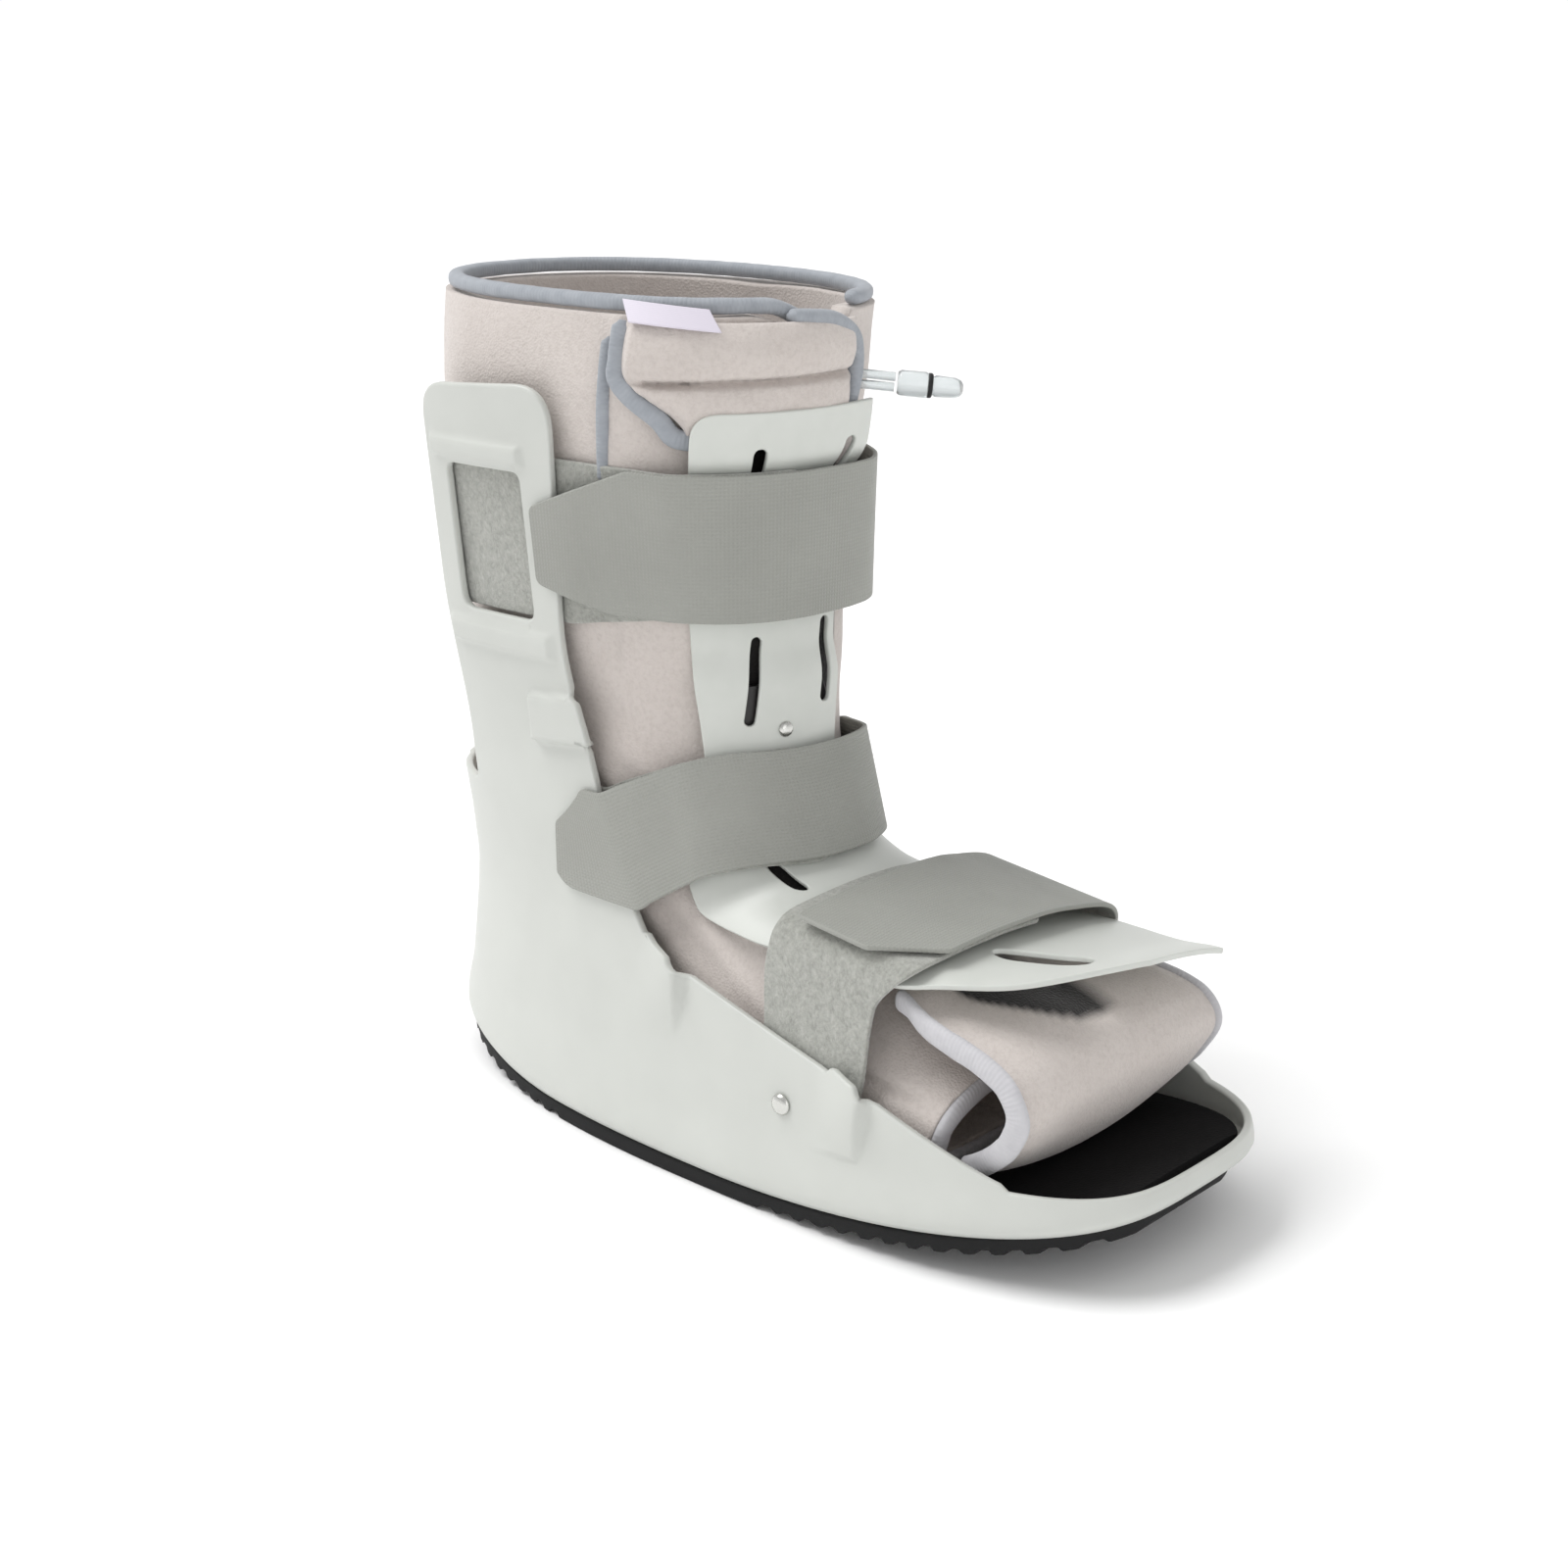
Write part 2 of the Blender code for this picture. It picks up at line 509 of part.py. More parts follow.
def make_shell(parts, cutters, mat):
    """Moulded tray, side walls and struts: half a lofted bucket, mirrored, given its wall and cut to its profile."""
    turns = [math.pi * i / SHELL_COLUMNS for i in range(SHELL_COLUMNS + 1)]
    walls = [[shell_outline(rise, -math.cos(turn), math.sin(turn)) for turn in turns] for rise in SHELL_ROWS]
    floor = []
    for share in (0.0, 0.5):
        floor.append([Vector((p.x, p.y * share, p.z)) for p in walls[0]])
    for row in floor + walls:
        row[0].y = 0.0
        row[-1].y = 0.0
    mesh = grid_mesh("shell", floor + walls)
    bm = bmesh.new()
    bm.from_mesh(mesh)
    bmesh.ops.recalc_face_normals(bm, faces=bm.faces)
    bm.faces.ensure_lookup_table()
    lowest = min(bm.faces, key=lambda face: face.calc_center_median().z)
    if lowest.normal.z > 0:
        bmesh.ops.reverse_faces(bm, faces=bm.faces)
    bm.to_mesh(mesh)
    bm.free()
    shell = add("shell", mesh, mat, parts)
    mirror = shell.modifiers.new("far side", "MIRROR")
    mirror.use_axis = (False, True, False)
    mirror.merge_threshold = 0.00005
    solidify(shell, SHELL_WALL, offset=-1.0)
    half = SOLE_HALF_WIDTH + CUT_REACH
    profile = side_prism("shell_profile", rounded(shell_profile()), -half, half, cutters)
    boolean(shell, profile, "INTERSECT")
    window = rounded([
        (WINDOW_BACK_X, WINDOW_LOW_Z, WINDOW_CORNER),
        (WINDOW_FRONT_X, WINDOW_LOW_Z, WINDOW_CORNER),
        (WINDOW_FRONT_X, WINDOW_HIGH_Z, WINDOW_CORNER),
        (WINDOW_BACK_X, WINDOW_HIGH_Z, WINDOW_CORNER),
    ], arc_steps=3)
    boolean(shell, side_prism("strut_window", window, -half, half, cutters), "DIFFERENCE")
    return shell


def make_liner(parts, mat):
    """Padded boot: leg, heel and foot in one bent tube, open at the collar and at the toes."""
    rows = []
    steps = 21
    for step in range(steps + 1):
        place = step * (len(LINER_SECTIONS) - 1) / steps
        rows.append([section_point(LINER_SECTIONS, place, 2 * math.pi * k / LINER_COLUMNS)
                     for k in range(LINER_COLUMNS)])
    mesh = grid_mesh("liner_boot", rows, closed=True)
    orient(mesh, Vector((LINER_HEEL_X + LINER_LENGTH * 0.3, 0.0, LINER_HEIGHT * 0.4)))
    liner = add("liner_boot", mesh, mat, parts)
    wall = solidify(liner, LINER_WALL, offset=-1.0)
    wall.use_even_offset = False
    return liner


def orient(mesh, centre):
    """Turns an open sheet's faces away from a point."""
    bm = bmesh.new()
    bm.from_mesh(mesh)
    bmesh.ops.recalc_face_normals(bm, faces=bm.faces)
    outward = sum(face.normal.dot(face.calc_center_median() - centre) * face.calc_area() for face in bm.faces)
    if outward < 0:
        bmesh.ops.reverse_faces(bm, faces=bm.faces)
    bm.to_mesh(mesh)
    bm.free()


def toe_flap_rows(steps=20):
    """Rolled sheet's stations: the middle of each, the direction it faces, and its row of the table."""
    rows = [dict(row, place=i) for i, row in enumerate(TOE_FLAP_LINE)]
    table = [interpolate(rows, "place", step * (len(rows) - 1) / steps) for step in range(steps + 1)]
    line = [Vector((LINER_HEEL_X + row["x"] * LINER_LENGTH, 0.0, row["z"] * LINER_HEIGHT)) for row in table]
    stations = []
    for i, centre in enumerate(line):
        ahead = line[min(i + 1, steps)] - line[max(i - 1, 0)]
        normal = Vector((-ahead.z, 0.0, ahead.x)).normalized()
        stations.append((centre, normal, table[i]))
    return stations


def toe_flap_point(station, across, depth):
    """Point of the rolled sheet: across is -1 at the near edge, depth is measured out from its middle."""
    centre, normal, row = station
    y = TOE_FLAP_HALF_WIDTH * row["width"] * across
    depth -= row["sag"] * TOE_FLAP_HALF_WIDTH * across * across + row["roll"] * y
    return centre + normal * depth + Vector((0.0, y, 0.0))


def make_toe_flap(parts, mat):
    """Front end of the liner, rolled down over the toes; thinner at its bound side edges."""
    shape = ((-1.0, 0.34), (-0.94, 0.44), (-0.5, 0.5), (0.5, 0.5), (0.94, 0.44), (1.0, 0.34))
    rows = []
    for station in toe_flap_rows():
        top = [toe_flap_point(station, across, TOE_FLAP_THICKNESS * half) for across, half in shape]
        low = [toe_flap_point(station, across, -TOE_FLAP_THICKNESS * half) for across, half in shape]
        rows.append(top + low[::-1])
    return add("toe_flap", closed_loft("toe_flap", rows), mat, parts)


def place_at(sections, angle, axis, value):
    """Section whose point at an angle has a given x or z; z falls and x grows from one section to the next."""
    low, high = 0.0, len(sections) - 1.0
    for _ in range(40):
        middle = (low + high) / 2
        point = section_point(sections, middle, angle)
        short = point.z > value if axis == "z" else point.x < value
        if short:
            low = middle
        else:
            high = middle
    return low


def on_liner(angle, z, offset):
    """Point that stands off the liner at a height; the angle is in degrees from its front."""
    turn = math.radians(angle)
    return off_section(LINER_SECTIONS, place_at(LINER_SECTIONS, turn, "z", z), turn, offset)


def curved_sheet(name, rows, thickness, centre, mat, parts):
    """Open sheet through rows of points, given its thickness on the side away from centre."""
    mesh = grid_mesh(name, rows)
    orient(mesh, centre)
    piece = add(name, mesh, mat, parts)
    solidify(piece, thickness)
    return piece


LEG_CENTRE = Vector((LINER_HEEL_X + LINER_LENGTH * 0.3, 0.0, LINER_HEIGHT * 0.7))
FOOT_CENTRE = Vector((LINER_HEEL_X + LINER_LENGTH * 0.6, 0.0, LINER_HEIGHT * 0.1))


def front_flap_near(z):
    """Angle of the front flap's near edge; its lower corner is cut away in a curve."""
    return blend(-44.0, -61.0, smoothstep((z - FRONT_FLAP_LOW_Z) / 0.020))


def make_front_flap(parts, cutters, mat):
    """Top of the tongue, folded down over the front of the collar, with a hidden channel for the air tubes."""
    rows = []
    for step in range(8):
        z = blend(FRONT_FLAP_LOW_Z, FRONT_FLAP_HIGH_Z, step / 7)
        near = front_flap_near(z)
        rows.append([on_liner(blend(near, FRONT_FLAP_FAR, k / 12), z, GAP) for k in range(13)])
    flap = curved_sheet("front_flap", rows, FRONT_FLAP_THICKNESS, LEG_CENTRE, mat, parts)
    margin = TUBE_RADIUS + GAP
    sections = []
    for k in range(5):
        angle = blend(TUBE_START_ANGLE - 2.0, FRONT_FLAP_FAR + 4.0, k / 4)
        sections.append([on_liner(angle, z, depth) for z, depth in (
            (TUBE_LOWER_Z - margin, -0.0020), (TUBE_UPPER_Z + margin, -0.0020),
            (TUBE_UPPER_Z + margin, 2 * TUBE_RADIUS + 3 * GAP), (TUBE_LOWER_Z - margin, 2 * TUBE_RADIUS + 3 * GAP))])
    channel = cutter_object("tube_channel", closed_loft("tube_channel", sections), cutters)
    boolean(flap, channel, "DIFFERENCE")
    return flap


def tube(name, path, radius, mat, parts, sides=6, closed=False):
    """Round strip along a path; closed joins its ends."""
    rows = []
    count = len(path)
    across = None
    for i, centre in enumerate(path):
        ahead = path[(i + 1) % count] - path[i - 1] if closed else path[min(i + 1, count - 1)] - path[max(i - 1, 0)]
        ahead = ahead.normalized()
        if across is None:
            across = ahead.orthogonal().normalized()
        across = (across - ahead * across.dot(ahead)).normalized()
        up = ahead.cross(across)
        rows.append([centre + across * radius * math.cos(turn) + up * radius * math.sin(turn)
                     for turn in (2 * math.pi * k / sides for k in range(sides))])
    if not closed:
        return add(name, closed_loft(name, rows), mat, parts)
    first = rows[0]
    start = min(range(sides), key=lambda k: (rows[-1][k] - first[0]).length)
    last = rows[-1][start:] + rows[-1][:start]
    bm = bmesh.new()
    verts = [[bm.verts.new(point) for point in row] for row in rows[:-1] + [last]]
    verts[-1] = verts[-1][-start:] + verts[-1][:-start] if start else verts[-1]
    for a, b in zip(verts, verts[1:]):
        for j in range(sides):
            bm.faces.new((a[j], a[(j + 1) % sides], b[(j + 1) % sides], b[j]))
    for j in range(sides):
        a, b = verts[-1], verts[0]
        bm.faces.new((a[(j + start) % sides], a[(j + start + 1) % sides], b[(j + 1) % sides], b[j]))
    bmesh.ops.recalc_face_normals(bm, faces=bm.faces)
    return add(name, finish_mesh(name, bm), mat, parts)


def make_bindings(parts, mat):
    """Bias tape on the cut edges, as round strips just outside each edge."""
    middle = LINER_WALL / 2
    rim = []
    for k in range(32):
        turn = 2 * math.pi * k / 32
        point = off_section(LINER_SECTIONS, 0.0, turn, -middle)
        rim.append(Vector((point.x, point.y, section_point(LINER_SECTIONS, 0.0, turn).z
                           + COLLAR_BINDING_RADIUS + 3 * GAP)))
    tube("collar_binding", rim, COLLAR_BINDING_RADIUS, mat, parts, closed=True)
    last = len(LINER_SECTIONS) - 1.0
    opening = []
    for k in range(24):
        turn = 2 * math.pi * k / 24
        edge = section_point(LINER_SECTIONS, last, turn)
        ahead = (edge - section_point(LINER_SECTIONS, last - 0.02, turn)).normalized()
        inner = off_section(LINER_SECTIONS, last, turn, -middle)
        opening.append(inner + ahead * (BINDING_RADIUS + 4 * GAP))
    tube("toe_opening_binding", opening, BINDING_RADIUS, mat, parts, closed=True)
    stand = BINDING_RADIUS + 2 * GAP
    turn_out = math.degrees(stand / LINER_HALF_WIDTH)
    depth = GAP + FRONT_FLAP_THICKNESS / 2
    path = []
    for step in range(7):
        z = blend(FRONT_FLAP_HIGH_Z, FRONT_FLAP_LOW_Z, step / 6)
        path.append(on_liner(front_flap_near(z) - turn_out * 1.35, z - stand * step / 6, depth))
    for step in range(1, 8):
        path.append(on_liner(blend(-40.0, FRONT_FLAP_FAR, step / 7), FRONT_FLAP_LOW_Z - stand * 1.1, depth))
    for z in (0.2335, 0.2400):
        path.append(on_liner(FRONT_FLAP_FAR + turn_out * 1.3, z, depth))
    tube("flap_binding", path, BINDING_RADIUS, mat, parts)
    edge = [on_liner(EDGE_BINDING_ANGLE, blend(FRONT_FLAP_HIGH_Z, CALF_STRAP_HIGH_Z + 0.0015, step / 6),
                     BINDING_RADIUS * 0.8 + 2 * GAP) for step in range(7)]
    tube("edge_binding", edge, BINDING_RADIUS * 0.8, mat, parts)
    for name, side in (("toe_binding_near", -1), ("toe_binding_far", 1)):
        path = [toe_flap_point(station, side, 0.0) + Vector((0.0, side * stand, 0.0)) for station in toe_flap_rows()]
        tube(name, path, BINDING_RADIUS, mat, parts)


def make_label(parts, mat):
    """Blank sewn tab under the collar binding, on the near side."""
    rows = []
    for rise in (0.0, 0.5, 1.0):
        row = [on_liner(blend(-64.0, -38.0, k / 6), FRONT_FLAP_HIGH_Z, PLATE_GAP + 2 * GAP) for k in range(7)]
        rows.append([Vector((p.x, p.y, FRONT_FLAP_HIGH_Z + 2 * GAP + LABEL_HEIGHT * rise)) for p in row])
    return curved_sheet("label", rows, LABEL_THICKNESS, LEG_CENTRE, mat, parts)


def shin_plate_offset(z):
    """Stand-off of the shin plate's inner face: over the foot plate below, over the front flap above."""
    over_foot_plate = (PLATE_THICKNESS + PLATE_GAP) * smoothstep((0.1660 - z) / 0.0130)
    over_flap = (FRONT_FLAP_THICKNESS + GAP) * smoothstep((z - 0.2110) / 0.0180)
    return PLATE_GAP + over_foot_plate + over_flap


def plate_top(z):
    return shin_plate_offset(z) + PLATE_THICKNESS


def slot_cutter(name, middle, along, normal, length, cutters):
    """Cutter for a round-ended slot, through a plate along its normal."""
    along = along.normalized()
    across = normal.cross(along).normalized()
    half = SLOT_WIDTH / 2
    outline = []
    for end in (1, -1):
        for k in range(5):
            turn = math.pi * (k / 4 - 0.5)
            outline.append(along * end * (length / 2 - half + half * math.cos(turn)) + across * end * half
                           * math.sin(turn))
    rows = [[middle + point + normal * depth for point in outline] for depth in (-0.0060, 0.0060)]
    return cutter_object(name, closed_loft(name, rows), cutters)


def make_shin_plate(parts, cutters, mat):
    """Upper front plate: a curved sheet over the tongue, with two pairs of slots."""
    rows = []
    for step in range(15):
        z = blend(SHIN_PLATE_ROWS[0]["z"], SHIN_PLATE_ROWS[-1]["z"], step / 14)
        row = interpolate(SHIN_PLATE_ROWS, "z", z)
        rows.append([on_liner(blend(row["near"], row["far"], k / 8), z, shin_plate_offset(z)) for k in range(9)])
    plate = curved_sheet("shin_plate", rows, PLATE_THICKNESS, LEG_CENTRE, mat, parts)
    for name, low_angle, high_angle, low_z, high_z in SHIN_SLOTS:
        low = on_liner(low_angle, low_z, plate_top(low_z))
        high = on_liner(high_angle, high_z, plate_top(high_z))
        angle, z = (low_angle + high_angle) / 2, (low_z + high_z) / 2
        normal = (on_liner(angle, z, 0.005) - on_liner(angle, z, 0.0)).normalized()
        cutter = slot_cutter(name, (low + high) / 2, high - low, normal, (high - low).length, cutters)
        boolean(plate, cutter, "DIFFERENCE")
    return plate


def plate_point(place, share, offset):
    rows = [dict(row, place=i) for i, row in enumerate(PLATE_SECTIONS)]
    row = interpolate(rows, "place", place)
    return off_section(PLATE_SECTIONS, place, math.radians(blend(row["near"], row["far"], share)), offset)


def make_foot_plate(parts, cutters, mat):
    """Lower front plate, over the instep and the rolled toe flap."""
    last = len(PLATE_SECTIONS) - 1
    rows = [[plate_point(last * step / 18, k / 9, PLATE_GAP) for k in range(10)] for step in range(19)]
    plate = curved_sheet("foot_plate", rows, PLATE_THICKNESS, FOOT_CENTRE, mat, parts)
    for name, start, end in FOOT_SLOTS:
        low, high = plate_point(*start, PLATE_GAP), plate_point(*end, PLATE_GAP)
        middle = [(a + b) / 2 for a, b in zip(start, end)]
        normal = (plate_point(*middle, 0.005) - plate_point(*middle, 0.0)).normalized()
        cutter = slot_cutter(name, (low + high) / 2, high - low, normal, (high - low).length, cutters)
        boolean(plate, cutter, "DIFFERENCE")
    return plate


def dome(name, base, normal, radius, mat, parts):
    """Rivet head: a low dome that stands on a point."""
    across = normal.orthogonal().normalized()
    up = normal.cross(across)
    rows = []
    for share, rise in ((1.0, 0.0), (1.0, 0.12), (0.86, 0.34), (0.5, 0.52), (0.12, 0.58)):
        rows.append([base + normal * radius * rise + across * radius * share * math.cos(turn)
                     + up * radius * share * math.sin(turn) for turn in (math.pi * k / 6 for k in range(12))])
    return add(name, closed_loft(name, rows), mat, parts)


def make_rivets(parts, mat):
    angle, z = -14.0, 0.1390
    normal = (on_liner(angle, z, 0.005) - on_liner(angle, z, 0.0)).normalized()
    base = on_liner(angle, z, plate_top(z) + 2 * GAP)
    dome("plate_rivet", base, normal, PLATE_RIVET_RADIUS, mat, parts)
    for name, side in (("wall_rivet_near", -1), ("wall_rivet_far", 1)):
        half = shell_half_width(WALL_RIVET_X, WALL_RIVET_Z) + 2 * GAP
        dome(name, Vector((WALL_RIVET_X, side * half, WALL_RIVET_Z)), Vector((0.0, side, 0.0)), WALL_RIVET_RADIUS,
             mat, parts)


def strap(name, stations, centre, mat, parts, between=2):
    """Woven strap through stations, each a low and a high edge point."""
    rows = [[low.lerp(high, k / between) for k in range(between + 1)] for low, high in stations]
    piece = curved_sheet(name, rows, STRAP_THICKNESS, centre, mat, parts)
    piece.modifiers["wall"].use_even_offset = False
    return piece


def wall_pair(low_x, high_x, low, high, side, offset):
    """Strap station along the shell's side; offset is measured out from its outer face."""
    return tuple(Vector((x, side * (shell_half_width(x, z) + offset), z)) for x, z in ((low_x, low), (high_x, high)))


def liner_pair(angle, low, high, layers, plate_far):
    """Strap station over the liner and the plates, with a number of straps already under it."""
    stack = PLATE_GAP + layers * (STRAP_THICKNESS + STRAP_GAP)
    plates = 1.0 - smoothstep((angle - plate_far) / 20.0)
    return tuple(on_liner(angle, z, plate_top(z) * plates + stack) for z in (low, high))


def bridge(start, end, count):
    """Straight stations between two, without the two themselves."""
    return [tuple(a.lerp(b, k / count) for a, b in zip(start, end)) for k in range(1, count)]


def make_leg_straps(parts, smooth, felt):
    """Calf and ankle straps: a felt one from inside the near wall, a smooth one over it from inside the far wall."""
    inside = -(SHELL_WALL + 2 * GAP + STRAP_THICKNESS)
    outside = 2 * GAP
    for row in LEG_STRAPS:
        def edges(share, tip=0.0):
            low = blend(row["back_low"], row["front_low"], share)
            high = blend(row["back_high"], row["front_high"], share)
            return low + tip * (high - low) * 0.14, high - tip * (high - low) * 0.34

        def around(angle):
            return edges(smoothstep((90.0 - abs(angle)) / 90.0))

        def on_wall(share, side, offset, tip=0.0):
            low_x = blend(row["back_x"], row["low_x"], share)
            high_x = blend(row["back_x"], row["high_x"], share)
            return wall_pair(low_x, high_x, *edges(0.0, tip), side, offset)

        stations = [on_wall(0.22 * k, 1, inside) for k in range(5)]
        plate_far = row["plate_far"]
        far = [liner_pair(angle, *around(angle), 0, plate_far) for angle in (55, 45, 35)]
        far += [liner_pair(angle, *around(angle), 1, plate_far) for angle in (22, 11, 2, -8, -18, -28, -37, -46)]
        stations += bridge(stations[-1], far[0], 2) + far
        landing = on_wall(1.0, -1, outside)
        stations += bridge(far[-1], landing, 4) + [landing]
        tip = row["tip_x"]
        stations.append(wall_pair(blend(row["low_x"], tip, 0.5), blend(row["high_x"], tip, 0.5), *edges(0.0, 0.3),
                                  -1, outside))
        stations.append(wall_pair(tip, tip, *edges(0.0, 1.0), -1, outside))
        strap(row["name"], stations, LEG_CENTRE, smooth, parts)
        stations = [on_wall(0.22 * k, -1, inside) for k in range(5)]
        near = [liner_pair(angle, *around(angle), 0, plate_far) for angle in (-46, -37, -28, -18, -8)]
        stations += bridge(stations[-1], near[0], 3) + near
        strap(row["name"].replace("_strap", "_loop_strap"), stations, LEG_CENTRE, felt, parts)


def make_forefoot_straps(parts, smooth, felt):
    """The two straps over the forefoot; each folds over the plate's edge high above the side wall."""
    for name, table, mat in (("forefoot_loop_strap", FOREFOOT_LOOP, felt), ("forefoot_strap", FOREFOOT_HOOK, smooth)):
        stations = []
        for row in table:
            station = []
            for x, z in ((row[end] * SOLE_TOE_X, row[end + "_z"] * LINER_HEIGHT) for end in ("rear", "front")):
                y = row["y"] * SOLE_HALF_WIDTH
                if abs(row["y"]) == 1:
                    y = row["y"] * (shell_half_width(x, z) - SHELL_WALL - GAP - STRAP_THICKNESS)
                station.append(Vector((x, y, z)))
            stations.append(station)
        strap(name, stations, FOOT_CENTRE, mat, parts)


def make_air_line(parts, clear):
    """Two clear tubes from under the front flap to a small valve."""
    reach = Vector((0.755, 0.656, -0.10)).normalized()
    ends = []
    for name, z in (("air_tube_upper", TUBE_UPPER_Z), ("air_tube_lower", TUBE_LOWER_Z)):
        depth = TUBE_RADIUS + 2 * GAP
        path = [on_liner(blend(TUBE_START_ANGLE, FRONT_FLAP_FAR, k / 6), z, depth) for k in range(7)]
        start = on_liner(FRONT_FLAP_FAR + 3.0, z, depth)
        path += [start + reach * TUBE_FREE_LENGTH * k / 5 for k in range(6)]
        ends.append(path[-1])
        tube(name, path, TUBE_RADIUS, clear, parts)
    base = (ends[0] + ends[1]) / 2 + reach * 2 * GAP
    across = reach.orthogonal().normalized()
    up = reach.cross(across)
    rows = []
    for along, share in ((0.0, 0.80), (0.08, 1.0), (0.50, 1.0), (0.56, 0.70), (0.92, 0.62), (1.0, 0.45)):
        rows.append([base + reach * VALVE_LENGTH * along + across * VALVE_RADIUS * share * math.cos(turn)
                     + up * VALVE_RADIUS * share * math.sin(turn) for turn in (math.pi * k / 6 for k in range(12))])
    return add("air_valve", closed_loft("air_valve", rows), clear, parts)


def build():
    reset()
    parts = collection("walking_boot")
    cutters = collection("cutters")
    plastic = material("moulded plastic", (0.66, 0.67, 0.64), 0.45)
    sheet_plastic = material("plate plastic", (0.70, 0.72, 0.69), 0.40)
    rubber = material("rubber", (0.012, 0.012, 0.013), 0.80)
    foam = material("foam", (0.010, 0.010, 0.010), 0.95)
    fabric = material("liner fabric", (0.68, 0.62, 0.58), 0.95)
    tape = material("binding tape", (0.40, 0.42, 0.46), 0.85)
    webbing = material("smooth strap", (0.34, 0.34, 0.31), 0.80)
    felt = material("loop felt", (0.38, 0.38, 0.35), 0.95)
    metal = material("rivet metal", (0.60, 0.61, 0.60), 0.30, metallic=1.0)
    clear = material("clear plastic", (0.80, 0.82, 0.82), 0.15)
    paper = material("label fabric", (0.86, 0.84, 0.87), 0.70)
    make_outsole(parts, rubber)
    make_insole(parts, foam)
    make_shell(parts, cutters, plastic)
    make_liner(parts, fabric)
    make_toe_flap(parts, fabric)
    make_front_flap(parts, cutters, fabric)
    make_bindings(parts, tape)
    make_label(parts, paper)
    make_shin_plate(parts, cutters, sheet_plastic)
    make_foot_plate(parts, cutters, sheet_plastic)
    make_rivets(parts, metal)
    make_leg_straps(parts, webbing, felt)
    make_forefoot_straps(parts, webbing, felt)
    make_air_line(parts, clear)


build()
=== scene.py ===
"""Walking boot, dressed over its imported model: a moulded shell on a rocker sole, a padded liner, two front plates,
hook and loop straps, and the short clear air line of the liner."""
import math

import bmesh
import bpy
import numpy as np
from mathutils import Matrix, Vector, noise
from mathutils.geometry import delaunay_2d_cdt


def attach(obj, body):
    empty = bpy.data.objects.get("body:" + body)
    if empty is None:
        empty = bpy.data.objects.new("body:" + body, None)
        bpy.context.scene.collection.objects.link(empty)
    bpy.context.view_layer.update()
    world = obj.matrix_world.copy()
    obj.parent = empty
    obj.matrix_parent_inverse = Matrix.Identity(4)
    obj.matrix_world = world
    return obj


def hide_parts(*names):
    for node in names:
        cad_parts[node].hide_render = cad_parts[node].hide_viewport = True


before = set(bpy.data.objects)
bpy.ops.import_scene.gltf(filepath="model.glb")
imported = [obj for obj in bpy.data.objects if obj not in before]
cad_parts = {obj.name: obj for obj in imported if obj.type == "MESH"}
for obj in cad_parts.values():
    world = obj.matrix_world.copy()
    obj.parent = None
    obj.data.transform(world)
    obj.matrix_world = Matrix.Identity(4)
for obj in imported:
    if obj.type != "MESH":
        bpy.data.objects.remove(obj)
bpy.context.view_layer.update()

# ---------------------------------------------------------------------------------------------------------------
# Camera, floor and light. The photo is a studio shot from the boot's near side, a little from the front and above,
# on white paper, under one large soft box over the heel and a white room.
# ---------------------------------------------------------------------------------------------------------------


def colour(sheet):
    """sRGB hex as the linear colour that a shader's socket takes."""
    parts = [int(sheet[i:i + 2], 16) / 255 for i in (1, 3, 5)]
    return tuple(c / 12.92 if c <= 0.04045 else ((c + 0.055) / 1.055) ** 2.4 for c in parts) + (1.0,)


def node(tree, kind, settings=None, links=None):
    """Adds a shader node. Settings are its properties or its sockets; links feed its sockets."""
    new = tree.nodes.new(kind)
    for key, value in (settings or {}).items():
        if isinstance(key, str) and hasattr(new, key):
            setattr(new, key, value)
        else:
            new.inputs[key].default_value = value
    for key, output in (links or {}).items():
        tree.links.new(output, new.inputs[key])
    return new


def surface(name, sheet, roughness, **sockets):
    """New Principled material, its node tree and its shader."""
    mat = bpy.data.materials.new(name)
    mat.use_nodes = True
    shader = mat.node_tree.nodes["Principled BSDF"]
    shader.inputs["Base Color"].default_value = colour(sheet)
    shader.inputs["Roughness"].default_value = roughness
    for key, value in sockets.items():
        shader.inputs[key.replace("_", " ").title().replace("Ior", "IOR")].default_value = value
    return mat, mat.node_tree, shader


camera_data = bpy.data.cameras.new("camera")
camera_data.lens = 56.08
camera_data.sensor_width = 36.0
camera_data.clip_start = 0.02
camera = bpy.data.objects.new("camera", camera_data)
camera.location = (0.4914, -0.5663, 0.3392)
camera.rotation_euler = (math.radians(90 - 16.592), 0.0, math.radians(41.479))
bpy.context.scene.collection.objects.link(camera)
bpy.context.scene.camera = camera

paper, paper_tree, paper_shader = surface("studio paper", "#FFFFFF", 1.0, specular_ior_level=0.0)
bm = bmesh.new()
bmesh.ops.create_circle(bm, cap_ends=True, segments=64, radius=6.0)
floor_mesh = bpy.data.meshes.new("floor")
bm.to_mesh(floor_mesh)
bm.free()
floor_mesh.materials.append(paper)
floor = bpy.data.objects.new("floor", floor_mesh)
bpy.context.scene.collection.objects.link(floor)

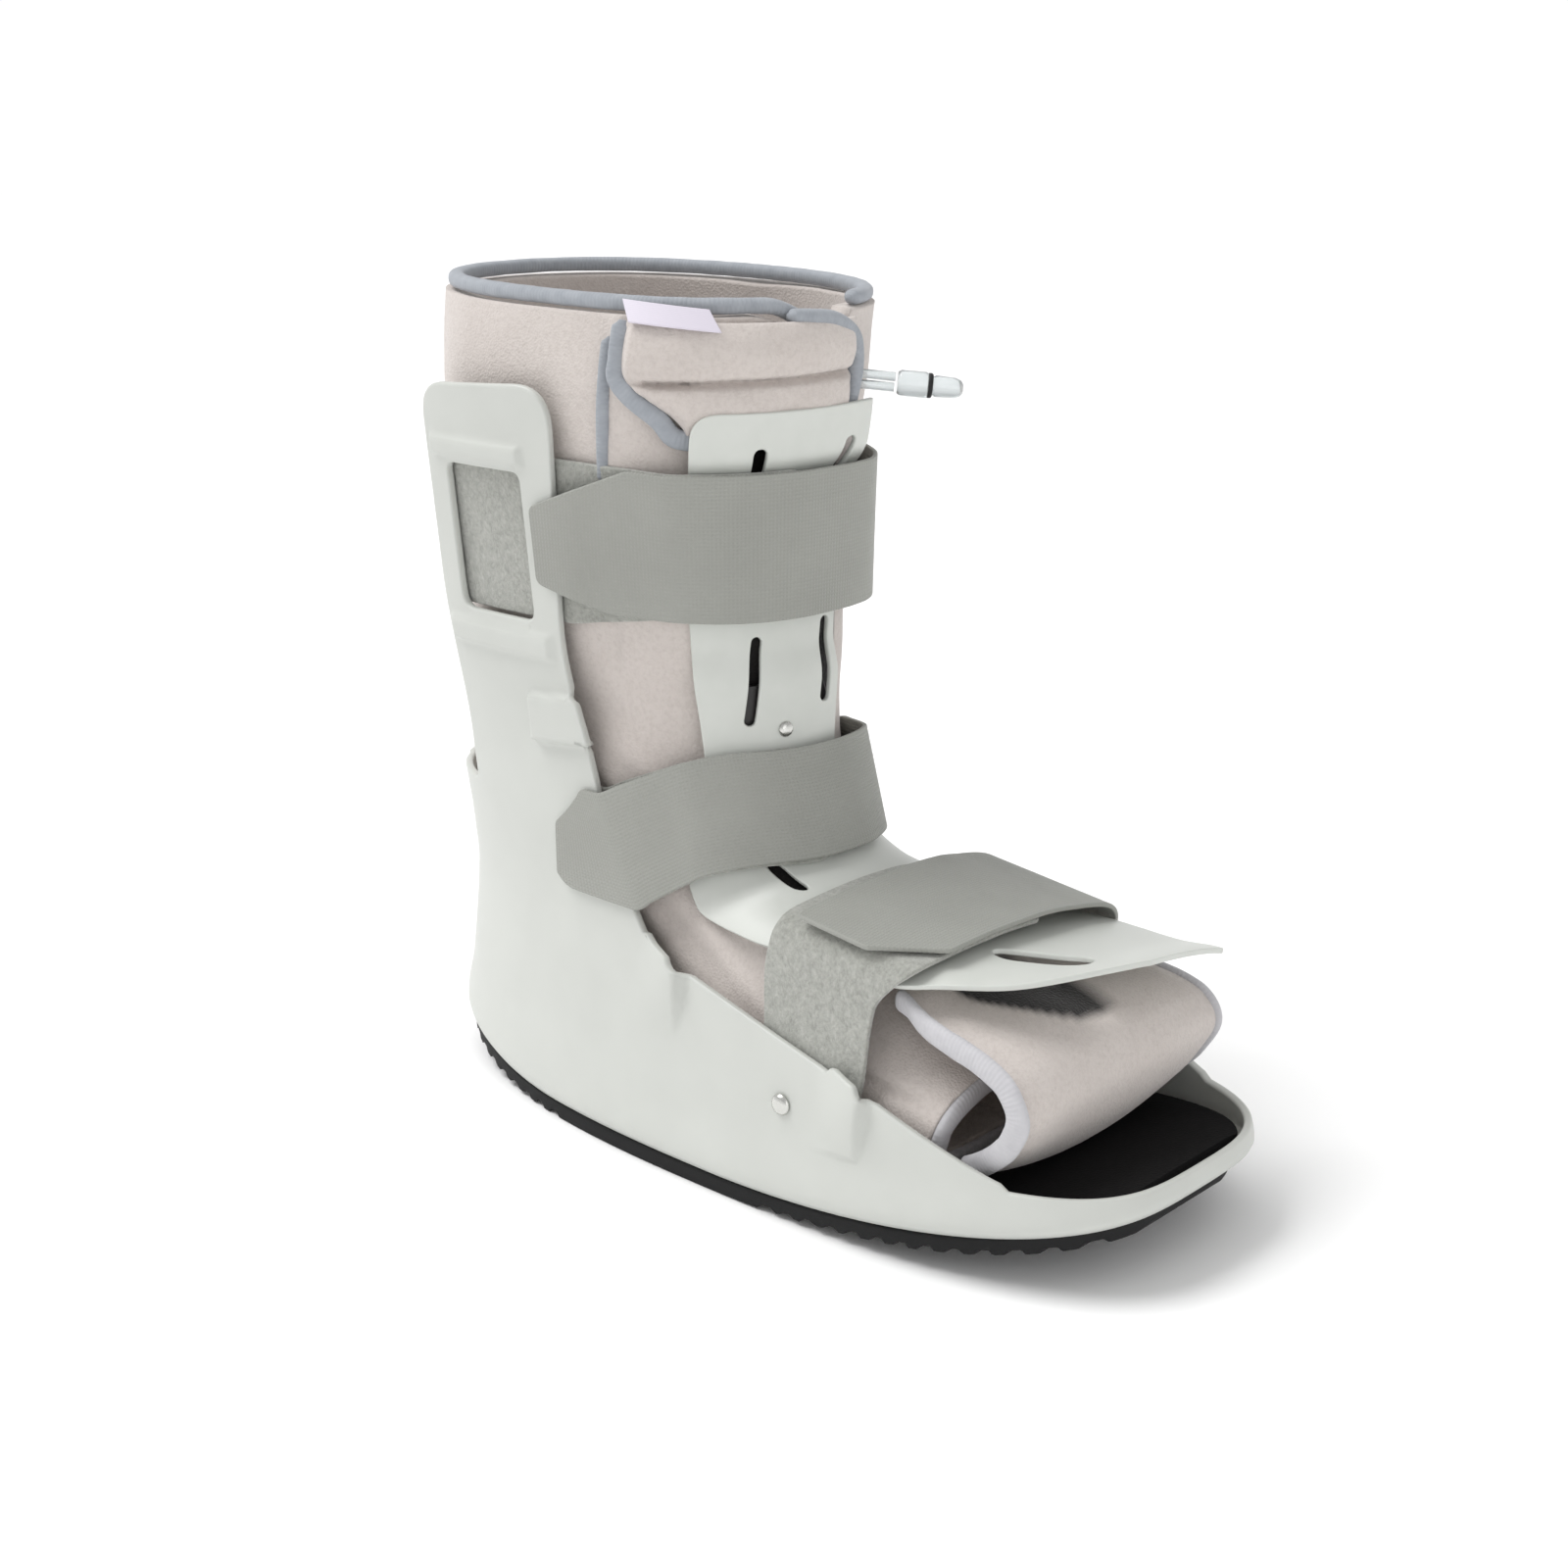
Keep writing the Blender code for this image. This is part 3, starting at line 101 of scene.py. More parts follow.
# White walls down to the floor, and a dimmer ceiling.
room = bpy.data.worlds.new("white room")
room.use_nodes = True
room_tree = room.node_tree
room_tree.nodes["Background"].inputs["Color"].default_value = (1.0, 1.0, 1.0, 1.0)
heading = node(room_tree, "ShaderNodeTexCoord").outputs["Generated"]
height = node(room_tree, "ShaderNodeSeparateXYZ", {}, {0: heading}).outputs["Z"]
glow = node(room_tree, "ShaderNodeMapRange", {"From Min": 0.06, "From Max": 0.40, "To Min": 1.02, "To Max": 0.60},
            {"Value": height})
room_tree.links.new(glow.outputs["Result"], room_tree.nodes["Background"].inputs["Strength"])
bpy.context.scene.world = room
bpy.context.scene.view_settings.view_transform = "Standard"

ceiling = bpy.data.lights.new("ceiling bank", "SUN")
ceiling.energy = 1.9
ceiling.angle = math.radians(34)
lamp = bpy.data.objects.new("ceiling bank", ceiling)
lamp.rotation_euler = Vector((-0.50, -0.34, 0.90)).to_track_quat("Z", "Y").to_euler()
bpy.context.scene.collection.objects.link(lamp)


def soft_box(name, place, aim, size, power):
    """Square area light at a place, facing another."""
    light = bpy.data.lights.new(name, "AREA")
    light.size = size
    light.energy = power
    lamp = bpy.data.objects.new(name, light)
    lamp.location = place
    lamp.rotation_euler = (Vector(aim) - Vector(place)).to_track_quat("-Z", "Y").to_euler()
    bpy.context.scene.collection.objects.link(lamp)


soft_box("key box", (-0.55, 0.10, 1.35), (0.0, 0.0, 0.10), 0.9, 2.5)
soft_box("front fill", (1.30, -0.50, 0.60), (0.05, 0.0, 0.06), 0.9, 2.0)


# ---------------------------------------------------------------------------------------------------------------
# Air line. Two clear PVC tubes, 2.8 mm thick, leave the front flap side by side and end in one small clear valve
# body. Each is 41 mm long, the last 14 mm of it free: stiff enough to stand out straight, as in the photo.
# ---------------------------------------------------------------------------------------------------------------
TUBE_DIAMETER = 0.0028
UPPER_TUBE = [
    (0.0104, -0.0201, 0.2473), (0.0111, -0.0168, 0.2472), (0.0116, -0.0134, 0.2472), (0.0120, -0.0097, 0.2472),
    (0.0121, -0.0056, 0.2472), (0.0121, -0.0007, 0.2472), (0.0119, 0.0032, 0.2472), (0.0115, 0.0068, 0.2472),
    (0.0136, 0.0086, 0.2469), (0.0157, 0.0104, 0.2467), (0.0178, 0.0122, 0.2464), (0.0199, 0.0141, 0.2461),
    (0.0220, 0.0159, 0.2458)]
LOWER_TUBE = [
    (0.0100, -0.0203, 0.2441), (0.0107, -0.0170, 0.2441), (0.0112, -0.0135, 0.2440), (0.0116, -0.0099, 0.2440),
    (0.0117, -0.0058, 0.2440), (0.0117, -0.0009, 0.2440), (0.0115, 0.0030, 0.2440), (0.0111, 0.0066, 0.2440),
    (0.0132, 0.0084, 0.2437), (0.0153, 0.0103, 0.2435), (0.0174, 0.0121, 0.2432), (0.0195, 0.0139, 0.2429),
    (0.0216, 0.0157, 0.2426)]
VALVE_AXIS = Vector((0.755, 0.656, -0.10)).normalized()
VALVE_LENGTH = 0.020
# Radius of the valve's body at each share of its length: socket, collar, neck, cap.
VALVE_PROFILE = ((0.0, 0.0026), (0.0, 0.0034), (0.05, 0.0039), (0.42, 0.0040), (0.47, 0.0037), (0.50, 0.0030),
                 (0.55, 0.0029), (0.58, 0.0033), (0.88, 0.0031), (0.96, 0.0025), (1.0, 0.0014), (1.0, 0.0))
# Its dark ring, in the neck: distance along the body and radius, in metres.
VALVE_RING = ((0.0090, 0.0), (0.0090, 0.0034), (0.0094, 0.0038), (0.0103, 0.0038), (0.0107, 0.0034), (0.0107, 0.0))

# Soft PVC, extruded: clear and glossy, with a grey tint where it is thick.
clear_pvc, clear_tree, clear_shader = surface("clear extruded PVC", "#E6EBEC", 0.12, transmission_weight=0.75,
                                              ior=1.53)
where = node(clear_tree, "ShaderNodeTexCoord").outputs["Object"]
flow = node(clear_tree, "ShaderNodeTexNoise", {"Scale": 1 / 0.0018, "Detail": 2.0}, {"Vector": where})
gloss = node(clear_tree, "ShaderNodeMapRange", {"To Min": 0.08, "To Max": 0.20}, {"Value": flow.outputs["Fac"]})
clear_tree.links.new(gloss.outputs["Result"], clear_shader.inputs["Roughness"])


def settle(piece, mat, slot, *nodes):
    """Finish, body and CAD nodes of a finished piece."""
    piece.data.materials.clear()
    piece.data.materials.append(mat)
    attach(piece, "root")
    if nodes:
        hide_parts(*nodes)
    return piece


def in_scene(name, bm, smooth=True):
    """Object of a finished bmesh, at the origin."""
    mesh = bpy.data.meshes.new(name)
    bm.to_mesh(mesh)
    bm.free()
    if smooth:
        mesh.shade_smooth()
    piece = bpy.data.objects.new(name, mesh)
    bpy.context.scene.collection.objects.link(piece)
    return piece


def turned(name, profile, base, axis, steps=48):
    """Body turned about an axis from a profile of (distance along it, radius)."""
    bm = bmesh.new()
    side = axis.orthogonal().normalized()
    verts = [bm.verts.new(base + axis * along + side * max(radius, 1e-5)) for along, radius in profile]
    edges = [bm.edges.new(pair) for pair in zip(verts, verts[1:])]
    bmesh.ops.spin(bm, geom=verts + edges, cent=base, axis=axis, angle=2 * math.pi, steps=steps, use_merge=True)
    bmesh.ops.remove_doubles(bm, verts=bm.verts, dist=3e-5)
    bmesh.ops.holes_fill(bm, edges=[e for e in bm.edges if e.is_boundary], sides=0)
    bmesh.ops.recalc_face_normals(bm, faces=bm.faces)
    return in_scene(name, bm)


valve_base = (Vector(UPPER_TUBE[-1]) + Vector(LOWER_TUBE[-1])) / 2 + VALVE_AXIS * 0.0008
valve = turned("air_valve_body", [(share * VALVE_LENGTH, radius) for share, radius in VALVE_PROFILE],
               valve_base, VALVE_AXIS)
settle(valve, clear_pvc, "clear_plastic", "air_valve")
# Nitrile rubber, moulded: black and matt.
nitrile, nitrile_tree, nitrile_shader = surface("black nitrile ring", "#141314", 0.6, specular_ior_level=0.4)
where = node(nitrile_tree, "ShaderNodeTexCoord").outputs["Object"]
grain = node(nitrile_tree, "ShaderNodeTexNoise", {"Scale": 1 / 0.0006, "Detail": 2.0}, {"Vector": where})
bump = node(nitrile_tree, "ShaderNodeBump", {"Strength": 0.2, "Distance": 0.0001}, {"Height": grain.outputs["Fac"]})
nitrile_tree.links.new(bump.outputs["Normal"], nitrile_shader.inputs["Normal"])
ring = turned("air_valve_ring", VALVE_RING, valve_base, VALVE_AXIS)
settle(ring, nitrile, "rubber")
for name, route, cad_tube in (("air_tube_upper_line", UPPER_TUBE, "air_tube_upper"),
                              ("air_tube_lower_line", LOWER_TUBE, "air_tube_lower")):
    line = bpy.data.curves.new(name, "CURVE")
    line.dimensions = "3D"
    line.resolution_u = 3
    line.bevel_depth = TUBE_DIAMETER / 2
    line.bevel_resolution = 5
    line.use_fill_caps = True
    spline = line.splines.new("BEZIER")
    spline.bezier_points.add(len(route) - 1)
    for point, place in zip(spline.bezier_points, route):
        point.co = place
        point.handle_left_type = point.handle_right_type = "AUTO"
    air_tube = bpy.data.objects.new(name, line)
    bpy.context.scene.collection.objects.link(air_tube)
    settle(air_tube, clear_pvc, "clear_plastic", cad_tube)

# ---------------------------------------------------------------------------------------------------------------
# Sole. A black rubber rocker, moulded, flat under the middle and curved up to both ends, with short cross teeth
# where it curves; it is bonded under the shell.
# ---------------------------------------------------------------------------------------------------------------
SOLE_HEEL_X, SOLE_TOE_X, SOLE_HALF_WIDTH = -0.153, 0.154, 0.0665
OUTSOLE_THICKNESS, OUTSOLE_INSET = 0.0056, 0.0026
FLAT_HEEL_X, FLAT_TOE_X = -0.060, 0.012
HEEL_ROCKER, TOE_ROCKER = 0.0142, 0.0167
TOOTH_PITCH, TOOTH_DEPTH = 0.0085, 0.0015

# Carbon-black rubber, moulded: dull, with a fine grain from the mould.
rubber, rubber_tree, rubber_shader = surface("moulded black rubber", "#101011", 0.72, specular_ior_level=0.35)
where = node(rubber_tree, "ShaderNodeTexCoord").outputs["Object"]
grain = node(rubber_tree, "ShaderNodeTexNoise", {"Scale": 1 / 0.0008, "Detail": 3.0}, {"Vector": where})
bump = node(rubber_tree, "ShaderNodeBump", {"Strength": 0.25, "Distance": 0.0002}, {"Height": grain.outputs["Fac"]})
rubber_tree.links.new(bump.outputs["Normal"], rubber_shader.inputs["Normal"])


def smoothstep(value):
    value = min(max(value, 0.0), 1.0)
    return value * value * (3 - 2 * value)


def mix(a, b, share):
    return a + (b - a) * share


def power(value, exponent):
    return math.copysign(abs(value) ** exponent, value)


def smooth_table(keys, rows):
    """Function that gives a table's row at any key, by a monotone cubic through each column."""
    columns = list(zip(*rows))
    slopes = []
    for column in columns:
        steps = [(b - a) / (q - p) for a, b, p, q in zip(column, column[1:], keys, keys[1:])]
        inner = [0.0 if s * t <= 0 else 2 * s * t / (s + t) for s, t in zip(steps, steps[1:])]
        slopes.append([1.5 * steps[0] - 0.5 * inner[0]] + inner + [1.5 * steps[-1] - 0.5 * inner[-1]])
    cells = list(zip(columns, slopes))

    def at(key):
        key = min(max(key, keys[0]), keys[-1])
        i = max(k for k in range(len(keys) - 1) if keys[k] <= key)
        span = keys[i + 1] - keys[i]
        f = (key - keys[i]) / span
        g = 1 - f
        return [c[i] * (1 + 2 * f) * g * g + c[i + 1] * f * f * (3 - 2 * f)
                + span * f * g * (s[i] * g - s[i + 1] * f) for c, s in cells]

    return at


def rocker(x):
    """Height that the sole curves up to at x."""
    toe = max(0.0, (x - FLAT_TOE_X) / (SOLE_TOE_X - FLAT_TOE_X))
    heel = max(0.0, (FLAT_HEEL_X - x) / (FLAT_HEEL_X - SOLE_HEEL_X))
    return TOE_ROCKER * toe ** 1.8 + HEEL_ROCKER * heel ** 2.0


# The shell's outline at each share of its height: heel and toe as shares of the sole's ends, the widths at heel
# and ball as shares of its half width, and the powers that square the corners of its plan.
SHELL_RISES = (0.000, 0.017, 0.084, 0.181, 0.262, 0.328, 0.475, 0.727, 1.021)
shell_level = smooth_table(SHELL_RISES, [
    (0.950, 0.985, 0.870, 0.970, 2.3, 3.4),
    (0.962, 1.005, 0.905, 1.000, 2.3, 3.4),
    (0.945, 0.990, 0.880, 0.970, 2.3, 3.4),
    (0.922, 0.970, 0.840, 0.935, 2.4, 3.3),
    (0.914, 0.900, 0.810, 0.900, 2.4, 3.0),
    (0.909, 0.720, 0.795, 0.865, 2.5, 2.6),
    (0.920, 0.260, 0.782, 0.800, 2.6, 2.4),
    (0.980, 0.060, 0.880, 0.880, 2.8, 2.6),
    (0.993, 0.060, 0.993, 0.993, 2.8, 2.6),
])
SHELL_BASE_Z = 0.0060
SHELL_HEIGHT = 0.2450
SHELL_RISE = SHELL_HEIGHT - SHELL_BASE_Z


def shell_point(rise, turn):
    """Point of the shell's outer face on the near side; turn goes from 0 at the heel to pi at the toe."""
    heel, toe, heel_w, ball_w, heel_n, toe_n = shell_level(rise)
    cosine = -math.cos(turn)
    n = toe_n if cosine > 0 else heel_n
    along = power(cosine, 2 / n)
    heel, toe = heel * SOLE_HEEL_X, toe * SOLE_TOE_X
    x = (heel + toe) / 2 + (toe - heel) / 2 * along
    width = mix(heel_w, ball_w, smoothstep((along + 1) / 2)) * SOLE_HALF_WIDTH
    z = SHELL_BASE_Z + rise * SHELL_RISE + rocker(x) * max(0.0, 1 - rise / 0.3)
    return Vector((x, -width * abs(math.sin(turn)) ** (2 / n), z))


def shell_rise(x, z):
    """Share of the shell's height at a place on its side."""
    rise = (z - SHELL_BASE_Z) / SHELL_RISE
    for _ in range(12):
        rise = (z - SHELL_BASE_Z - rocker(x) * max(0.0, 1 - rise / 0.3)) / SHELL_RISE
    return max(0.0, rise)


def shell_turn(x, rise):
    """Turn of the place on the shell's side at x."""
    heel, toe, heel_w, ball_w, heel_n, toe_n = shell_level(rise)
    heel, toe = heel * SOLE_HEEL_X, toe * SOLE_TOE_X
    along = min(max((x - (heel + toe) / 2) / ((toe - heel) / 2), -1.0), 1.0)
    return math.acos(-power(along, (toe_n if along > 0 else heel_n) / 2))


def shell_half_width(x, z):
    """Half width of the shell's outer face at a place on its side."""
    rise = shell_rise(x, z)
    return -shell_point(rise, shell_turn(x, rise)).y


def cloth_grid(name, columns, rows, place, size=(1.0, 1.0), smooth=True):
    """Grid sheet laid by place(s, t), both 0 to 1. Its UV map holds s and t times the sheet's real size."""
    bm = bmesh.new()
    bmesh.ops.create_grid(bm, x_segments=columns, y_segments=rows, size=0.5)
    cloth = bm.loops.layers.uv.new("cloth")
    for face in bm.faces:
        for loop in face.loops:
            loop[cloth].uv = ((loop.vert.co.x + 0.5) * size[0], (loop.vert.co.y + 0.5) * size[1])
    for vert in bm.verts:
        vert.co = place(vert.co.x + 0.5, vert.co.y + 0.5)
    bmesh.ops.remove_doubles(bm, verts=bm.verts, dist=2e-6)
    bmesh.ops.dissolve_degenerate(bm, edges=bm.edges, dist=1e-6)
    bmesh.ops.holes_fill(bm, edges=[e for e in bm.edges if e.is_boundary], sides=0) if not smooth else None
    return in_scene(name, bm)


def solid_grid(name, columns, rows, place, size=(1.0, 1.0)):
    """Closed body from a grid whose columns run round it and whose two ends are filled."""
    piece = cloth_grid(name, columns, rows, place, size)
    bm = bmesh.new()
    bm.from_mesh(piece.data)
    bmesh.ops.holes_fill(bm, edges=[e for e in bm.edges if e.is_boundary], sides=0)
    bmesh.ops.recalc_face_normals(bm, faces=bm.faces)
    bm.to_mesh(piece.data)
    bm.free()
    return piece


def sole_place(s, t):
    """The sole: s goes round its plan, t from the middle of its underside out to its rim and back over its top."""
    turn = 2 * math.pi * s
    edge = shell_point(0.017, turn)
    toe = smoothstep((edge.x - 0.090) / 0.065)
    x = edge.x * (1 - OUTSOLE_INSET / SOLE_TOE_X - 0.030 * toe)
    half = abs(edge.y) * (1 - OUTSOLE_INSET / SOLE_HALF_WIDTH - 0.035 * toe) * (1 if turn > math.pi else -1)
    share = min(min(t, 1 - t) / 0.44, 1.0)
    up = smoothstep((t - 0.44) / 0.12)
    z = rocker(x) + OUTSOLE_THICKNESS * up
    if not FLAT_HEEL_X < x < FLAT_TOE_X + 0.02 and up < 0.9:
        tooth = (x / TOOTH_PITCH) % 1.0
        z += TOOTH_DEPTH * smoothstep(min(tooth, 1 - tooth) * 7 - 1.2) * (1 - up)
    return Vector((x, half * share, z))


sole = solid_grid("rocker_sole", 560, 44, sole_place)
settle(sole, rubber, "rubber", "outsole")

# ---------------------------------------------------------------------------------------------------------------
# Insole. A flat sheet of black EVA foam, cut to the tray of the shell and laid in it; only its toe end shows.
# ---------------------------------------------------------------------------------------------------------------
INSOLE_LOW_Z, INSOLE_THICKNESS = 0.0094, 0.0050
INSOLE_INSET = 0.0062

# Closed-cell foam, skived: near black, matt, with fine cells.
foam, foam_tree, foam_shader = surface("black EVA foam", "#0E0D0E", 0.95, specular_ior_level=0.2)
where = node(foam_tree, "ShaderNodeTexCoord").outputs["Object"]
cells = node(foam_tree, "ShaderNodeTexVoronoi", {"Scale": 1 / 0.0009}, {"Vector": where})
bump = node(foam_tree, "ShaderNodeBump", {"Strength": 0.4, "Distance": 0.0002}, {"Height": cells.outputs["Distance"]})
foam_tree.links.new(bump.outputs["Normal"], foam_shader.inputs["Normal"])


def insole_place(s, t):
    along = -math.cos(math.pi * mix(0.02, 0.98, t))
    x = mix(SOLE_HEEL_X * 0.945 + INSOLE_INSET, SOLE_TOE_X - INSOLE_INSET, (along + 1) / 2)
    width = max(shell_half_width(x * 1.015, SHELL_BASE_Z + INSOLE_THICKNESS + rocker(x)) - INSOLE_INSET, 0.004)
    turn = 2 * math.pi * s
    across, up = power(math.cos(turn), 0.25), power(math.sin(turn), 0.4)
    return Vector((x, across * width, INSOLE_LOW_Z + rocker(x) + INSOLE_THICKNESS * (up + 1) / 2))


settle(solid_grid("foam_insole", 48, 110, insole_place), foam, "foam", "insole")

# ---------------------------------------------------------------------------------------------------------------
# Shell. One moulding in warm light grey polypropylene, 2.6 mm thick: tray, side walls, heel cup and two flared
# struts, each with a window between two ridges, and guides for the straps on its front edge and the wall's top.
# ---------------------------------------------------------------------------------------------------------------
SHELL_WALL = 0.0026
FLOOR_REACH = 0.060
# Top edge of the wall in the side view, from the toe to the heel: x, z and the corner's radius.
WALL_TOP = [(0.200, 0.0315, 0.0), (0.1247, 0.0315, 0.060), (0.0739, 0.0490, 0.080), (-0.0169, 0.0720, 0.012),
            (-0.0375, 0.1029, 0.060), (-0.0530, 0.1568, 0.080), (-0.0475, 0.2450, 0.013), (-0.1080, 0.2410, 0.013),
            (-0.1080, 0.1060, 0.005), (-0.200, 0.1085, 0.0)]
WINDOW = [(-0.0975, 0.1690, 0.0050), (-0.0630, 0.1690, 0.0050), (-0.0630, 0.2165, 0.0035), (-0.0975, 0.2165, 0.0035)]

# Polypropylene, injection moulded: satin, with a fine spark-eroded grain and faint cloudiness.
shell_plastic, shell_tree, shell_shader = surface("moulded polypropylene", "#D3D5D0", 0.42, ior=1.49)
where = node(shell_tree, "ShaderNodeTexCoord").outputs["Object"]
cloud = node(shell_tree, "ShaderNodeTexNoise", {"Scale": 1 / 0.022, "Detail": 2.0}, {"Vector": where})
tone = node(shell_tree, "ShaderNodeMix", {"data_type": "RGBA", 6: colour("#BFC1BC"), 7: colour("#C8CAC5")},
            {0: cloud.outputs["Fac"]})
shell_tree.links.new(tone.outputs[2], shell_shader.inputs["Base Color"])
grain = node(shell_tree, "ShaderNodeTexNoise", {"Scale": 1 / 0.0007, "Detail": 2.0}, {"Vector": where})
bump = node(shell_tree, "ShaderNodeBump", {"Strength": 0.12, "Distance": 0.0002}, {"Height": grain.outputs["Fac"]})
shell_tree.links.new(bump.outputs["Normal"], shell_shader.inputs["Normal"])
gloss = node(shell_tree, "ShaderNodeMapRange", {"To Min": 0.36, "To Max": 0.50}, {"Value": cloud.outputs["Fac"]})
shell_tree.links.new(gloss.outputs["Result"], shell_shader.inputs["Roughness"])


def rounded(corners, closed=True, steps=7):
    """Outline with its corners rounded; each corner is (across, up, radius)."""
    outline = []
    count = len(corners)
    for i, (x, y, radius) in enumerate(corners):
        corner = Vector((x, y))
        if radius == 0 or (not closed and i in (0, count - 1)):
            outline.append(corner)
            continue
        before = Vector(corners[i - 1][:2]) - corner
        after = Vector(corners[(i + 1) % count][:2]) - corner
        half = before.angle(after) / 2
        reach = min(radius / math.tan(half), before.length * 0.49, after.length * 0.49)
        start, end = corner + before.normalized() * reach, corner + after.normalized() * reach
        for step in range(steps + 1):
            f = step / steps
            outline.append(start * (1 - f) ** 2 + corner * 2 * f * (1 - f) + end * f * f)
    return outline


def even(outline, pitch, closed=True):
    """The same outline with a point at every pitch or less."""
    points = []
    ends = list(zip(outline, outline[1:] + outline[:1])) if closed else list(zip(outline, outline[1:]))
    for a, b in ends:
        a, b = Vector(a[:2]), Vector(b[:2])
        count = max(1, math.ceil((b - a).length / pitch - 1e-6))
        points += [a.lerp(b, k / count) for k in range(count)]
    return points if closed else points + [Vector(outline[-1][:2])]


def holds(points, outline):
    """True for each point that an outline holds."""
    held = np.zeros(len(points), bool)
    for a, b in zip(outline, outline[1:] + outline[:1]):
        crosses = (a[1] > points[:, 1]) != (b[1] > points[:, 1])
        rise = (b[1] - a[1]) or 1e-12
        held ^= crosses & (points[:, 0] < a[0] + (points[:, 1] - a[1]) * (b[0] - a[0]) / rise)
    return held


def sliver(a, b, c):
    """True for a triangle less than 2 micrometres high."""
    longest = max((b - a).length, (c - b).length, (a - c).length)
    return abs((b.x - a.x) * (c.y - a.y) - (b.y - a.y) * (c.x - a.x)) < 2e-6 * longest


def rim_ways(loop, material, seams):
    """For each point of a loop the way out of the material, or None on a seam; material is -1 inside, 1 outside."""
    area = sum(a.x * b.y - a.y * b.x for a, b in zip(loop, loop[1:] + loop[:1]))
    sign = material * (1 if area > 0 else -1)
    ways = []
    for before, point, after in zip(loop[-1:] + loop[:-1], loop, loop[1:] + loop[:1]):
        if seams and seams(point):
            ways.append(Vector((0.0, 1.0)) if not (seams(before) and seams(after)) else None)
            continue
        back, ahead = (point - before).normalized(), (after - point).normalized()
        way = (Vector((-back.y, back.x)) + Vector((-ahead.y, ahead.x))).normalized()
        miter = max(abs(way.dot(Vector((-back.y, back.x)))), 0.68)
        ways.append(way * (sign / miter))
    return ways


